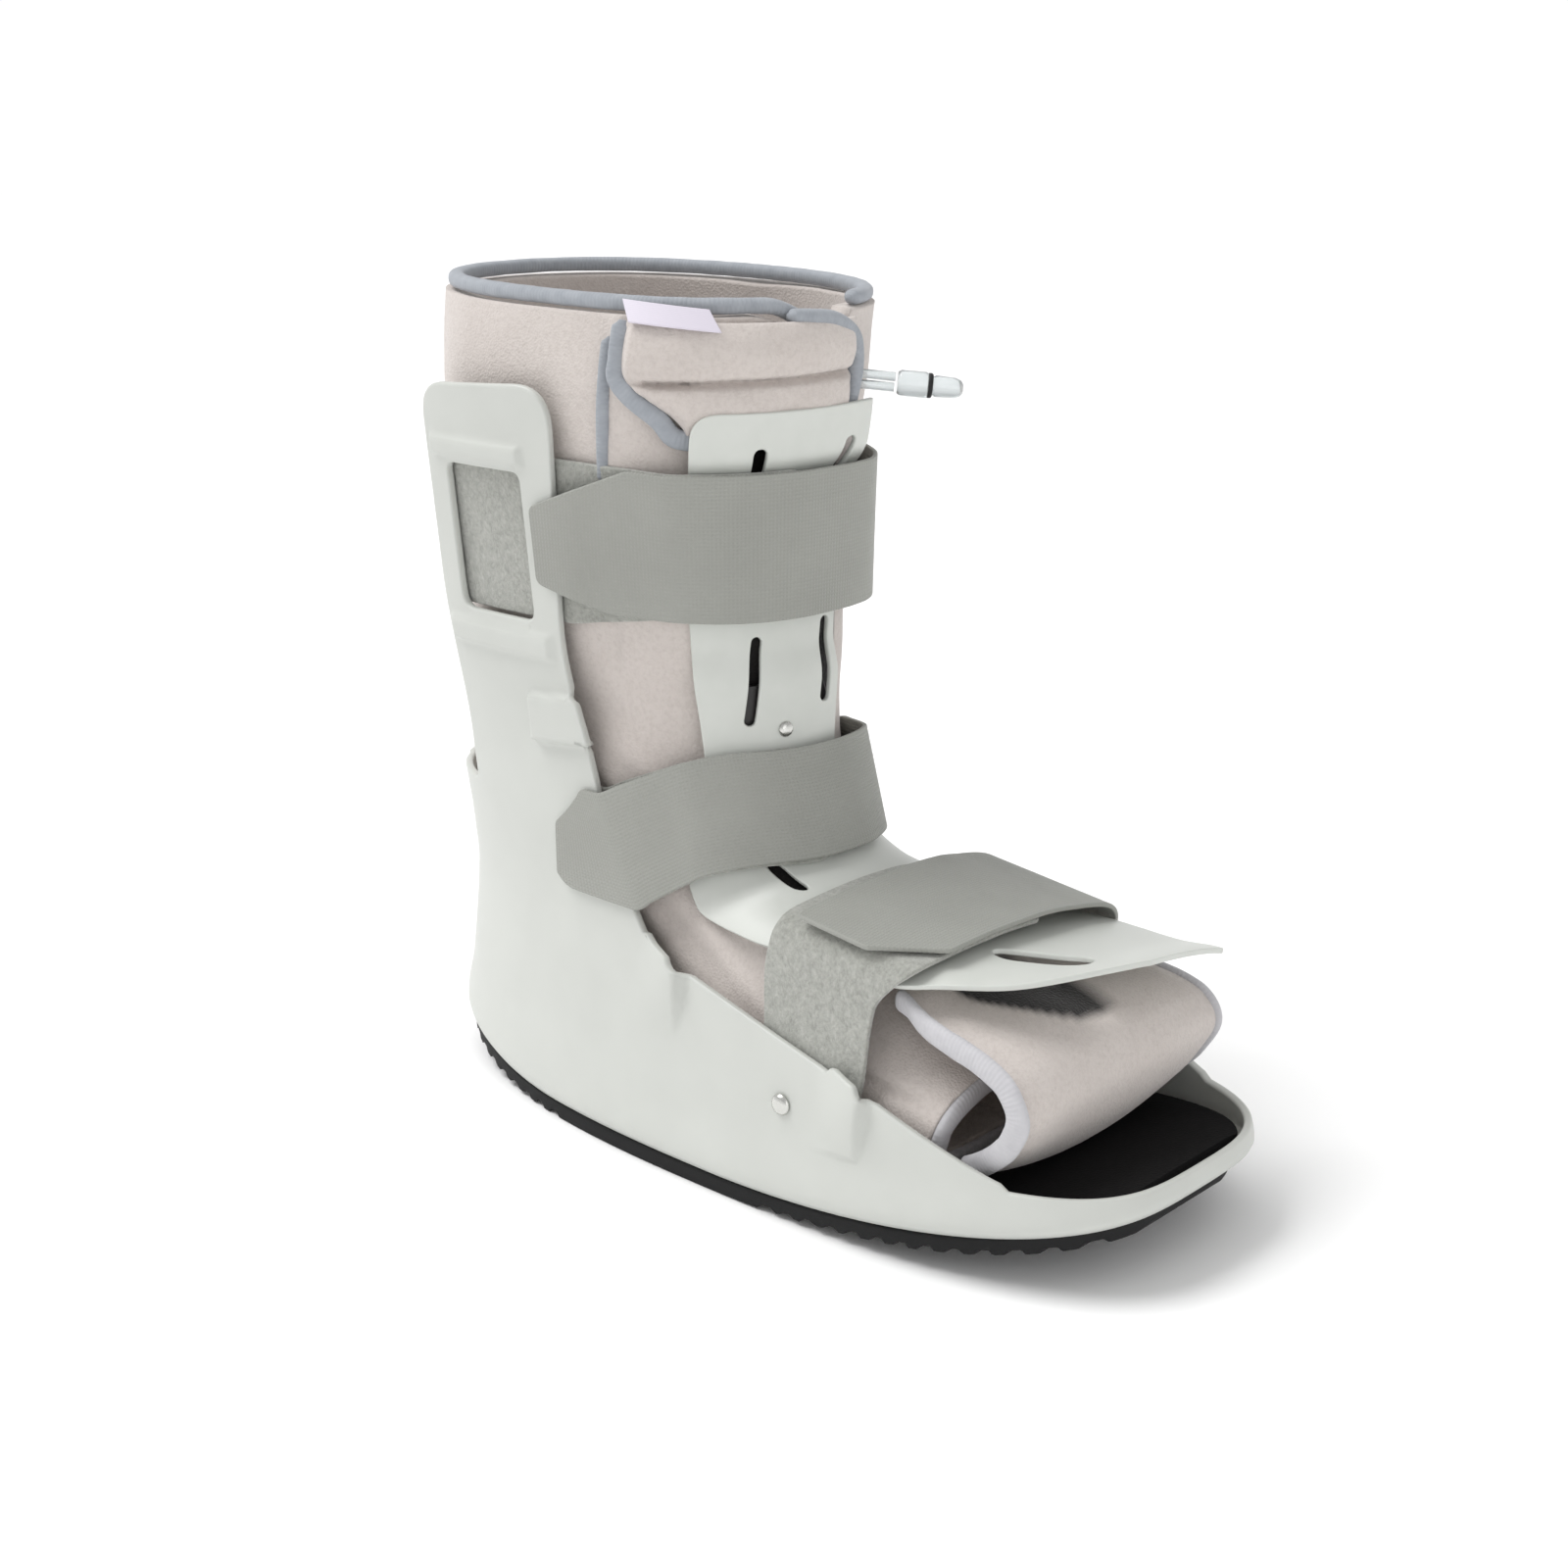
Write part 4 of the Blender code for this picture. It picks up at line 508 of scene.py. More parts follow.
def cut_sheet(name, outline, holes, place, pitch, centre, depths, edge, fine=(), seams=None):
    """Sheet cut flat to an outline and its holes, in metres, then laid by place(u, v), facing away from centre. Its
    two faces stand at two depths, and its rims are rounded, but for the points of seams that it is mirrored at."""
    low_depth, high_depth = depths
    support = edge * 0.4
    loops = [even(loop, pitch * 0.8) for loop in [outline] + holes]
    loops = [[p for p, q in zip(loop, loop[-1:] + loop[:-1]) if (p - q).length > 1e-4] for loop in loops]
    ways = [rim_ways(loop, -1 if k == 0 else 1, seams if k == 0 else None) for k, loop in enumerate(loops)]
    inner = [[p - w * (edge + support) if w else p for p, w in zip(loop, out)] for loop, out in zip(loops, ways)]
    rim = [point for loop in inner for point in loop]
    edges = []
    for loop in inner:
        first = len(edges)
        edges += [(first + k, first + (k + 1) % len(loop)) for k in range(len(loop))]
    low = Vector((min(p.x for p in rim), min(p.y for p in rim)))
    high = Vector((max(p.x for p in rim), max(p.y for p in rim)))
    lattice = []
    for left, bottom, right, top, step in [(low.x, low.y, high.x, high.y, pitch)] + list(fine):
        for j in range(int((top - bottom) / (step * 0.866)) + 1):
            for i in range(int((right - left) / step) + 2):
                spot = (left + (i + (j % 2) / 2) * step, bottom + j * step * 0.866)
                if step < pitch or not any(f[0] <= spot[0] <= f[2] and f[1] <= spot[1] <= f[3] for f in fine):
                    lattice.append(spot)
    lattice = np.array(lattice)
    keep = holds(lattice, inner[0])
    for hole in inner[1:]:
        keep &= ~holds(lattice, hole)
    lattice = lattice[keep]
    edge_points = np.array([tuple(p) for p in rim])
    clear = np.array([np.min(np.sum((edge_points - point) ** 2, axis=1)) > (pitch * 0.5) ** 2 for point in lattice])
    points = rim + [Vector(point) for point in lattice[clear]]
    flat, _, triangles, origins, _, _ = delaunay_2d_cdt(points, edges, [], 0, 1e-7)
    index = {source: k for k, sources in enumerate(origins) for source in sources}
    middles = np.array([tuple((flat[a] + flat[b] + flat[c]) / 3) for a, b, c in triangles])
    keep = holds(middles, inner[0])
    for hole in inner[1:]:
        keep &= ~holds(middles, hole)
    # The triangulation adds slivers along straight rims, which would span whole bends once laid; they go.
    triangles = [tri for tri, kept in zip(triangles, keep) if kept and not sliver(*(flat[k] for k in tri))]
    spots = [place(p.x, p.y) for p in flat]
    outward = 0.0
    for a, b, c in triangles:
        cross = (spots[b] - spots[a]).cross(spots[c] - spots[a])
        outward += cross.dot(spots[a] - centre)
    sign = 1 if outward > 0 else -1

    def lift(u, v):
        """Unit normal of the laid sheet, away from centre."""
        h = 3e-4
        normal = (place(u + h, v) - place(u - h, v)).cross(place(u, v + h) - place(u, v - h))
        if normal.length < 1e-12:
            normal = Vector((0.0, 0.0, -1.0)) * sign
        if seams and abs(place(u, v).y) < 1e-9:
            normal.y = 0.0
        return normal.normalized() * sign

    bm = bmesh.new()
    cloth = bm.loops.layers.uv.new("cloth")
    where = {}

    def corner(spot, normal, depth, u, v):
        vert = bm.verts.new(spot + normal * depth)
        where[vert] = (u, v)
        return vert

    used = sorted({k for tri in triangles for k in tri})
    lifts = {k: lift(flat[k].x, flat[k].y) for k in used}
    faces = []
    for depth in (high_depth, low_depth):
        faces.append({k: corner(spots[k], lifts[k], depth, flat[k].x, flat[k].y) for k in used})
        for a, b, c in triangles:
            bm.faces.new((faces[-1][a], faces[-1][b], faces[-1][c]))
    profile = [(-edge, high_depth)]
    profile += [(-edge + edge * math.sin(math.radians(k)), high_depth - edge + edge * math.cos(math.radians(k)))
                for k in (30, 60, 90)]
    profile += [(out, high_depth + low_depth - depth) for out, depth in profile[::-1]]
    first = 0
    for loop, out in zip(loops, ways):
        rings = []
        for k, (p, w) in enumerate(zip(loop, out)):
            if w is None:
                rings.append(None)
                continue
            start = index[first + k]
            normal = lifts.get(start) or lift(p.x, p.y)
            ring = [faces[0].get(start)]
            for reach, depth in profile:
                q = p + w * reach
                ring.append(corner(place(q.x, q.y), normal, depth, q.x, q.y))
            rings.append(ring + [faces[1].get(start)])
        first += len(loop)
        for here, there in zip(rings, rings[1:] + rings[:1]):
            if here and there and here[0] and there[0] and here[0] is not there[0]:
                for a, b, c, d in zip(here, here[1:], there[1:], there):
                    bm.faces.new((a, b, c, d))
    for face in bm.faces:
        for loop in face.loops:
            loop[cloth].uv = where[loop.vert]
    if not seams:
        bmesh.ops.recalc_face_normals(bm, faces=bm.faces)
    return in_scene(name, bm)


def band(value, low, high, soft):
    """1 between low and high, and 0 outside them, with soft shoulders."""
    return smoothstep((value - low) / soft + 0.5) * smoothstep((high - value) / soft + 0.5)


def guide(x, z, left, right, low, high):
    """Strap guide: a scoop that swells to its front edge and runs out downwards."""
    lean = (high - z) * 0.12
    across = (x + lean - left) / (right - left)
    if not 0 < across < 1.12:
        return 0.0
    fall = smoothstep((1.12 - across) / 0.12)
    return smoothstep(across) * fall * smoothstep((z - low) / (high - low))


def shell_relief(x, z):
    """How far the wall stands out at a place on its side: ridges, strap guides and the flange of the strut."""
    out = 0.0019 * band(x, -0.1040, -0.0610, 0.003) * band(z, 0.2190, 0.2250, 0.0022)
    out += 0.0020 * band(x, -0.1050, -0.0560, 0.004) * band(z, 0.1575, 0.1655, 0.0026)
    out += 0.0032 * band(x, -0.0690, -0.0340, 0.003) * band(z - (x + 0.05) * 0.10, 0.1310, 0.1470, 0.0020)
    out += 0.0042 * guide(x, z, -0.0230, -0.0010, 0.0430, 0.0690)
    out += 0.0042 * guide(x, z, 0.0550, 0.0750, 0.0200, 0.0490)
    return out


reference = [shell_point(0.23, math.pi * k / 400) for k in range(401)]
run = [0.0]
for a, b in zip(reference, reference[1:]):
    run.append(run[-1] + (b - a).length)
FULL_RUN = run[-1]


def run_of(turn):
    """Distance along the wall at a turn."""
    return float(np.interp(turn, [math.pi * k / 400 for k in range(401)], run))


def turn_of(distance):
    return float(np.interp(distance, run, [math.pi * k / 400 for k in range(401)]))


def shell_flat(x, z):
    """Place of a point of the side view on the flattened shell."""
    rise = shell_rise(x, z)
    return Vector((run_of(shell_turn(x, rise)), rise * SHELL_RISE))


def shell_end(turn, z):
    """Place on the flattened shell at a turn and a height, near the toe or the heel."""
    rise = 0.1
    for _ in range(12):
        rise = shell_rise(shell_point(rise, turn).x, z)
    return Vector((run_of(turn), rise * SHELL_RISE))


def shell_place(u, v):
    """Point of the shell from its flattened place; below the wall's foot it is the tray's floor."""
    turn = turn_of(min(max(u, 0.0), FULL_RUN))
    point = shell_point(max(v, 0.0) / SHELL_RISE, turn)
    if v < 0:
        point.y *= max(0.0, 1 + v / FLOOR_REACH)
        return point
    if u < 1e-5 or u > FULL_RUN - 1e-5:
        point.y = 0.0
        return point
    relief = shell_relief(point.x, point.z) if 0.02 < v else 0.0
    if relief:
        ahead = shell_point(v / SHELL_RISE, turn + 0.01) - shell_point(v / SHELL_RISE, turn - 0.01)
        above = shell_point(v / SHELL_RISE + 0.01, turn) - shell_point(v / SHELL_RISE - 0.01, turn)
        normal = ahead.cross(above).normalized()
        if normal.y > 0:
            normal.negate()
        point += normal * relief
    return point


def wall_top(x, z):
    """Top edge with the guides' small lips."""
    if z < 0.09:
        z += 0.0026 * band(x, -0.0185, -0.0050, 0.0026) + 0.0026 * band(x, 0.0610, 0.0735, 0.0026)
    elif x > -0.070:
        x += 0.0038 * band(z, 0.1310, 0.1465, 0.0026)
    return shell_flat(x, z)


side_view = even(rounded(WALL_TOP, closed=False, steps=12), 0.0016, closed=False)
top_edge = [wall_top(p.x, p.y) for p in side_view if -0.134 < p.x < 0.120]
toe_turns = [mix(math.pi, turn_of(top_edge[0].x), k / 30) for k in range(30)]
heel_turns = [mix(turn_of(top_edge[-1].x), 0.0, k / 30) for k in range(1, 31)]
top_edge = [shell_end(turn, 0.0315) for turn in toe_turns] + top_edge
top_edge += [shell_end(turn, 0.1075) for turn in heel_turns]
outline = [Vector((0.0, -FLOOR_REACH)), Vector((FULL_RUN, -FLOOR_REACH))] + top_edge
window = [shell_flat(p.x, p.y) for p in even(rounded(WINDOW), 0.0014)]


def fine_box(left, right, low, high):
    """Part of the flattened shell that gets a finer mesh, for its relief."""
    corners = [shell_flat(x, z) for x in (left, right) for z in (low, high)]
    return (min(c.x for c in corners), min(c.y for c in corners), max(c.x for c in corners),
            max(c.y for c in corners), 0.0012)


def on_seam(point):
    """True on the lines that the half shell is mirrored at: the middle of its heel, its toe and its floor."""
    return point.x < 1e-7 or point.x > FULL_RUN - 1e-7 or point.y < -FLOOR_REACH + 1e-7


fine = [fine_box(-0.1060, -0.0540, 0.2165, 0.2275), fine_box(-0.1060, -0.0520, 0.1545, 0.1685),
        fine_box(-0.0710, -0.0320, 0.1270, 0.1525), fine_box(-0.0250, 0.0030, 0.0400, 0.0740),
        fine_box(0.0520, 0.0790, 0.0200, 0.0520)]
shell = cut_sheet("moulded_shell", outline, [window], shell_place, 0.0024, Vector((0.0, 0.05, 0.08)),
                  (-SHELL_WALL, 0.0), 0.0009, fine, on_seam)
bm = bmesh.new()
bm.from_mesh(shell.data)
for vert in bm.verts:
    if abs(vert.co.y) < 3e-5:
        vert.co.y = 0.0
bmesh.ops.mirror(bm, geom=bm.verts[:] + bm.edges[:] + bm.faces[:], axis="Y", merge_dist=1e-5)
bmesh.ops.remove_doubles(bm, verts=bm.verts, dist=3e-5)
bmesh.ops.dissolve_degenerate(bm, edges=bm.edges, dist=1e-5)
bmesh.ops.recalc_face_normals(bm, faces=bm.faces)
bm.to_mesh(shell.data)
bm.free()
shell.data.shade_smooth()
settle(shell, shell_plastic, "shell_plastic", "shell")

# ---------------------------------------------------------------------------------------------------------------
# Liner boot. Brushed knit laminated to 7 mm of foam, sewn to one bent tube that holds the leg, the heel and the
# foot. Its near panel closes over the other at the front of the leg, and its rim dips inside the far one there.
# ---------------------------------------------------------------------------------------------------------------
LINER_HEEL_X, LINER_LENGTH, LINER_HEIGHT, LINER_HALF_WIDTH = -0.143, 0.243, 0.270, 0.0575
LINER_WALL = 0.0070
PANEL_EDGE = -67.5
# Loops from the collar to the toe opening, each between a back and a front point: x and z as shares of the liner's
# length and height, half widths and powers at the back and the front, the front's turn to the near side, its roll.
LINER_LOOPS = [
    (0.027, 0.993, 0.640, 0.985, 0.975, 0.975, 2.3, 2.3, 0.050, 0.00),
    (0.024, 0.907, 0.628, 0.907, 1.000, 1.000, 2.3, 2.3, 0.070, 0.00),
    (0.022, 0.807, 0.616, 0.807, 0.970, 0.960, 2.3, 2.3, 0.090, 0.00),
    (0.018, 0.715, 0.610, 0.718, 0.920, 0.910, 2.3, 2.3, 0.090, 0.00),
    (0.026, 0.593, 0.608, 0.615, 0.865, 0.855, 2.3, 2.3, 0.080, 0.00),
    (0.034, 0.463, 0.608, 0.525, 0.810, 0.810, 2.3, 2.2, 0.070, 0.00),
    (0.038, 0.326, 0.620, 0.450, 0.770, 0.825, 2.3, 2.2, 0.100, 0.02),
    (0.034, 0.204, 0.646, 0.392, 0.755, 0.850, 2.4, 2.2, 0.110, 0.04),
    (0.044, 0.118, 0.704, 0.350, 0.750, 0.880, 2.6, 2.2, 0.080, 0.06),
    (0.100, 0.077, 0.770, 0.328, 0.780, 0.905, 3.0, 2.3, 0.050, 0.08),
    (0.240, 0.063, 0.819, 0.310, 0.850, 0.920, 4.0, 2.3, 0.025, 0.08),
    (0.424, 0.055, 0.862, 0.288, 0.900, 0.925, 5.0, 2.3, 0.000, 0.07),
    (0.609, 0.0545, 0.905, 0.260, 0.925, 0.920, 5.0, 2.3, 0.000, 0.05),
    (0.794, 0.0615, 0.950, 0.234, 0.930, 0.910, 5.0, 2.3, 0.000, 0.02),
    (0.955, 0.0770, 0.992, 0.207, 0.915, 0.900, 5.0, 2.4, 0.000, 0.00),
]
LAST_LOOP = len(LINER_LOOPS) - 1.0
liner_loop = smooth_table(list(range(len(LINER_LOOPS))), LINER_LOOPS)

# Brushed nylon knit: warm off-white, soft and matt, with a short nap and the tiny rows of the knit.
knit, knit_tree, knit_shader = surface("brushed nylon knit", "#D9D1CC", 0.95, specular_ior_level=0.2,
                                       sheen_weight=0.25, sheen_roughness=0.5)
where = node(knit_tree, "ShaderNodeTexCoord").outputs["Object"]
# The knit's rows are 0.5 mm apart; they are drawn 0.8 mm apart, which is as fine as the render shows.
rows_of_knit = node(knit_tree, "ShaderNodeTexVoronoi", {"Scale": 1 / 0.0008}, {"Vector": where})
nap = node(knit_tree, "ShaderNodeTexNoise", {"Scale": 1 / 0.0016, "Detail": 4.0, "Roughness": 0.7}, {"Vector": where})
handling = node(knit_tree, "ShaderNodeTexNoise", {"Scale": 1 / 0.030, "Detail": 3.0}, {"Vector": where})
mixed = node(knit_tree, "ShaderNodeMath", {"operation": "MULTIPLY_ADD", 1: 0.5},
             {0: nap.outputs["Fac"], 2: rows_of_knit.outputs["Distance"]})
bump = node(knit_tree, "ShaderNodeBump", {"Strength": 0.5, "Distance": 0.00035}, {"Height": mixed.outputs["Value"]})
knit_tree.links.new(bump.outputs["Normal"], knit_shader.inputs["Normal"])
tone = node(knit_tree, "ShaderNodeMix", {"data_type": "RGBA", 6: colour("#C4BBB6"), 7: colour("#D1CAC5")},
            {0: handling.outputs["Fac"]})
speck = node(knit_tree, "ShaderNodeMix", {"data_type": "RGBA", 0: 0.25, 7: colour("#A69C96")}, {6: tone.outputs[2]})
weight = node(knit_tree, "ShaderNodeMapRange", {"From Min": 0.45, "From Max": 0.75, "To Max": 0.35},
              {"Value": nap.outputs["Fac"]})
knit_tree.links.new(weight.outputs["Result"], speck.inputs[0])
# Painted shade: the face that lies under the plates' slots is painted near black, for the deep shade that fills the
# slots.
under = node(knit_tree, "ShaderNodeAttribute", {"attribute_name": "slot_shade"})
slot_shade_mix = node(knit_tree, "ShaderNodeMix", {"data_type": "RGBA", 7: colour("#1D1B1A")},
             {0: under.outputs["Fac"], 6: speck.outputs[2]})
knit_tree.links.new(slot_shade_mix.outputs[2], knit_shader.inputs["Base Color"])


def loop_point(loop, place, angle):
    """Point of a loft of plane loops; the angle is 0 at the front and negative on the near side."""
    bx, bz, fx, fz, bw, fw, bn, fn, turn, roll = loop(place)
    cosine, sine = math.cos(angle), math.sin(angle)
    n = fn if cosine > 0 else bn
    along = power(cosine, 2 / n)
    width = mix(bw, fw, smoothstep((along + 1) / 2)) * LINER_HALF_WIDTH
    x = mix(bx, fx, (along + 1) / 2) * LINER_LENGTH + LINER_HEEL_X
    z = mix(bz, fz, (along + 1) / 2) * LINER_HEIGHT
    y = width * power(sine, 2 / n) - turn * LINER_HALF_WIDTH * smoothstep(along)
    return Vector((x, y, z - roll * y * smoothstep((along + 1) / 2)))


def off_loop(loop, place, angle, offset):
    """Point that stands off such a loft, along its outward normal."""
    step = 0.02
    point = loop_point(loop, place, angle)
    if offset == 0:
        return point
    along = loop_point(loop, place + step, angle) - loop_point(loop, place - step, angle)
    around = loop_point(loop, place, angle + step) - loop_point(loop, place, angle - step)
    normal = around.cross(along).normalized()
    inside = loop_point(loop, place, 0.0) + loop_point(loop, place, math.pi)
    if normal.dot(point - inside / 2) < 0:
        normal.negate()
    return point + normal * offset


def on_liner(degrees, z, offset):
    """Point that stands off the liner at a height; the angle is in degrees from its front."""
    angle = math.radians(degrees)
    low, high = 0.0, LAST_LOOP
    for _ in range(22):
        middle = (low + high) / 2
        if loop_point(liner_loop, middle, angle).z > z:
            low = middle
        else:
            high = middle
    return off_loop(liner_loop, low, angle, offset)


def rim_start(degrees):
    """Where the liner begins under its collar binding: the near panel's rim dips at the front."""
    if degrees < 5.0:
        return 0.40 * smoothstep((degrees + 28.0) / 30.0)
    return 0.40 * smoothstep((7.5 - degrees) / 2.5)


def liner_place(s, t):
    degrees = 360.0 * s - 180.0
    angle = math.radians(degrees)
    start = rim_start(degrees)
    place = mix(start, LAST_LOOP, t)
    point = loop_point(liner_loop, place, angle)
    swell = 0.0008 * noise.noise(point * 28.0) + 0.0004 * noise.noise(point * 75.0)
    high = smoothstep((point.z - 0.150) / 0.01)
    swell += 0.0012 * smoothstep((degrees - PANEL_EDGE) / 1.2) * smoothstep((-20.0 - degrees) / 20.0) * high
    # Soft creases at the bend of the ankle and behind the toe opening.
    bend = band(point.z, 0.060, 0.125, 0.03) * smoothstep((abs(degrees) - 25.0) / 20.0)
    swell += 0.0007 * bend * math.sin(point.z * 420.0 + point.x * 260.0)
    ahead = smoothstep((place - 11.4) / 1.2) * smoothstep((LAST_LOOP - place) / 0.8)
    swell -= 0.0014 * ahead * math.exp(-((degrees + 78.0 - (place - 12.0) * 5.0) / 4.0) ** 2)
    return off_loop(liner_loop, place, angle, swell)


liner = cloth_grid("padded_liner", 220, 300, liner_place)
LEG_CENTRE = Vector((LINER_HEEL_X + LINER_LENGTH * 0.3, 0.0, LINER_HEIGHT * 0.7))
FOOT_CENTRE = Vector((LINER_HEEL_X + LINER_LENGTH * 0.6, 0.0, LINER_HEIGHT * 0.1))


def face_out(piece, centre):
    """Turns a sheet's faces away from a point."""
    bm = bmesh.new()
    bm.from_mesh(piece.data)
    bmesh.ops.recalc_face_normals(bm, faces=bm.faces)
    outward = sum(face.normal.dot(face.calc_center_median() - centre) * face.calc_area() for face in bm.faces)
    if outward < 0:
        bmesh.ops.reverse_faces(bm, faces=bm.faces)
    bm.to_mesh(piece.data)
    bm.free()


face_out(liner, Vector((LINER_HEEL_X + LINER_LENGTH * 0.3, 0.0, LINER_HEIGHT * 0.4)))
padding = liner.modifiers.new("padding", "SOLIDIFY")
padding.thickness = LINER_WALL
padding.offset = -1.0
settle(liner, knit, "liner_fabric", "liner_boot")

# ---------------------------------------------------------------------------------------------------------------
# Toe flap. The front end of the liner's tongue: the same padded knit, rolled forwards and down over the toes to the
# insole, with its side edges bound.
# ---------------------------------------------------------------------------------------------------------------
TOE_FLAP_THICKNESS, TOE_FLAP_HALF_WIDTH = 0.0072, 0.0515
# Middle line: x and z as shares of the liner, how far the sides turn in, the slope to the far side, the width.
TOE_FLAP_LINE = [
    (0.905, 0.288, 0.10, 0.09, 0.90), (0.925, 0.284, 0.10, 0.09, 0.92), (0.955, 0.275, 0.10, 0.08, 0.96),
    (1.000, 0.263, 0.07, 0.06, 1.00), (1.049, 0.250, 0.05, 0.04, 1.00), (1.086, 0.228, 0.02, 0.02, 1.00),
    (1.100, 0.198, 0.00, 0.00, 0.99), (1.088, 0.164, 0.02, 0.00, 0.95), (1.058, 0.121, 0.08, 0.00, 0.91),
    (1.022, 0.092, 0.12, 0.00, 0.88)]
toe_flap_row = smooth_table(list(range(10)), TOE_FLAP_LINE)


def toe_flap_point(t, across, depth):
    """Point of the rolled sheet: across is -1 at the near edge, depth is measured out from its middle."""
    def centre(share):
        row = toe_flap_row(9 * min(max(share, 0.0), 1.0))
        return Vector((LINER_HEEL_X + row[0] * LINER_LENGTH, 0.0, row[1] * LINER_HEIGHT))
    sag, roll, width = toe_flap_row(9 * t)[2:]
    ahead = centre(t + 0.02) - centre(t - 0.02)
    normal = Vector((-ahead.z, 0.0, ahead.x)).normalized()
    y = TOE_FLAP_HALF_WIDTH * width * across
    depth -= sag * TOE_FLAP_HALF_WIDTH * across * across + roll * y
    return centre(t) + normal * depth + Vector((0.0, y, 0.0))


def toe_flap_place(s, t):
    turn = 2 * math.pi * s
    across, out = power(math.cos(turn), 0.55), power(math.sin(turn), 0.45)
    thick = TOE_FLAP_THICKNESS * 0.5 * (1.0 - 0.30 * smoothstep((abs(across) - 0.80) / 0.20))
    thick *= smoothstep(min(t, 1 - t) / 0.03) * 0.5 + 0.5
    point = toe_flap_point(t, across, out * thick)
    soft = 0.0007 * noise.noise(point * 34.0) * (1 if out > 0 else -1)
    return toe_flap_point(t, across, out * thick + soft)


toe_flap = solid_grid("padded_toe_flap", 120, 110, toe_flap_place)
settle(toe_flap, knit, "liner_fabric", "toe_flap")

# ---------------------------------------------------------------------------------------------------------------
# Front flap. The top of the tongue, folded forwards and down over the front of the collar: padded knit, quilted by
# one sewn seam across it, with its lower near corner cut in a curve and bound.
# ---------------------------------------------------------------------------------------------------------------
FLAP_THICKNESS, FLAP_LOW_Z, FLAP_HIGH_Z = 0.0064, 0.2300, 0.2650
FLAP_NEAR, FLAP_FAR = -61.0, 5.0
QUILT_Z = 0.2450
FABRIC_GAP = 0.0004


def flap_low(degrees):
    """Height of the front flap's low edge; its near corner is cut away in a curve."""
    share = min(max((-42.0 - degrees) / 19.0, 0.0), 1.0)
    return FLAP_LOW_Z + 0.0015 + 0.020 * (0.5 - math.sin(math.asin(1 - 2 * share) / 3))


def front_flap_place(s, t):
    degrees = mix(FLAP_NEAR, FLAP_FAR, t)
    turn = 2 * math.pi * s
    up, out = power(math.sin(turn), 0.85), power(math.cos(turn), 0.65)
    low = flap_low(degrees)
    z = mix(low, FLAP_HIGH_Z, (up + 1) / 2)
    ends = smoothstep(min(t + 0.004, 1.004 - t) / 0.05)
    depth = FABRIC_GAP + FLAP_THICKNESS / 2 + out * FLAP_THICKNESS / 2 * mix(0.45, 1.0, ends)
    if out > 0:
        seam_z = mix(0.2468, 0.2492, t)
        bound = smoothstep((z - low) / 0.006)
        depth -= 0.0040 * math.exp(-((z - seam_z) / 0.0010) ** 2) * mix(0.35, 1.0, ends) * out * bound
        part = (z - seam_z) / (FLAP_HIGH_Z - seam_z) if z > seam_z else (seam_z - z) / max(seam_z - low, 0.004)
        depth += 0.0019 * math.sin(math.pi * min(part, 1.0)) * ends * out
        depth += 0.0006 * noise.noise(Vector((degrees * 0.16, z * 130.0, 3.0))) * ends
        depth += 0.0004 * math.sin(degrees * 1.9) * math.exp(-abs(z - seam_z) / 0.003) * ends
    return on_liner(degrees, z, depth)


front_flap = solid_grid("padded_front_flap", 240, 110, front_flap_place)
settle(front_flap, knit, "liner_fabric", "front_flap")

# ---------------------------------------------------------------------------------------------------------------
# Bindings. Grey polyester bias tape, folded over each cut edge of the padded fabric and stitched through: the
# collar's, the front flap's, the near panel's upright edge, the two sides of the toe flap and the toe opening.
# ---------------------------------------------------------------------------------------------------------------


def tape_finish(name, dark, light):
    """Knitted polyester tape: slightly silky, with fine ribs across it and faint wear."""
    mat, tree, shader = surface(name, light, 0.8, sheen_weight=0.15, specular_ior_level=0.3)
    cloth_uv = node(tree, "ShaderNodeUVMap", {"uv_map": "cloth"}).outputs["UV"]
    ribs = node(tree, "ShaderNodeTexWave", {"bands_direction": "Y", "Scale": 0.314 / 0.0013, "Distortion": 0.6},
                {"Vector": cloth_uv})
    patch = node(tree, "ShaderNodeTexNoise", {"Scale": 1 / 0.004, "Detail": 3.0}, {"Vector": cloth_uv})
    bump = node(tree, "ShaderNodeBump", {"Strength": 0.4, "Distance": 0.0002}, {"Height": ribs.outputs["Fac"]})
    tree.links.new(bump.outputs["Normal"], shader.inputs["Normal"])
    tone = node(tree, "ShaderNodeMix", {"data_type": "RGBA", 6: colour(dark), 7: colour(light)},
                {0: patch.outputs["Fac"]})
    tree.links.new(tone.outputs[2], shader.inputs["Base Color"])
    return mat


# Collar and flaps have cool grey tape, the toes a nearly white one.
grey_tape = tape_finish("grey polyester bias tape", "#8B9097", "#A9ADB3")
white_tape = tape_finish("white polyester bias tape", "#B7B6BA", "#C9C8CB")


def flowing(points, count, closed=False):
    """Evenly spaced points on a smooth line through some points."""
    points = [Vector(p) for p in points]
    total = len(points)
    spans = total if closed else total - 1
    fine = []
    for i in range(spans):
        if closed:
            a, b, c, d = (points[(i + k) % total] for k in (-1, 0, 1, 2))
        else:
            b, c = points[i], points[i + 1]
            a = points[i - 1] if i else b * 2 - c
            d = points[i + 2] if i + 2 < total else c * 2 - b
        for k in range(12):
            f = k / 12
            fine.append((b * 2 + (c - a) * f + (a * 2 - b * 5 + c * 4 - d) * f * f
                         + (b * 3 - a - c * 3 + d) * f ** 3) / 2)
    fine.append(points[0] if closed else points[-1])
    gone = [0.0]
    for a, b in zip(fine, fine[1:]):
        gone.append(gone[-1] + (b - a).length)
    steps = [gone[-1] * k / (count if closed else count - 1) for k in range(count)]
    return [Vector([float(np.interp(step, gone, [p[axis] for p in fine])) for axis in range(3)]) for step in steps]


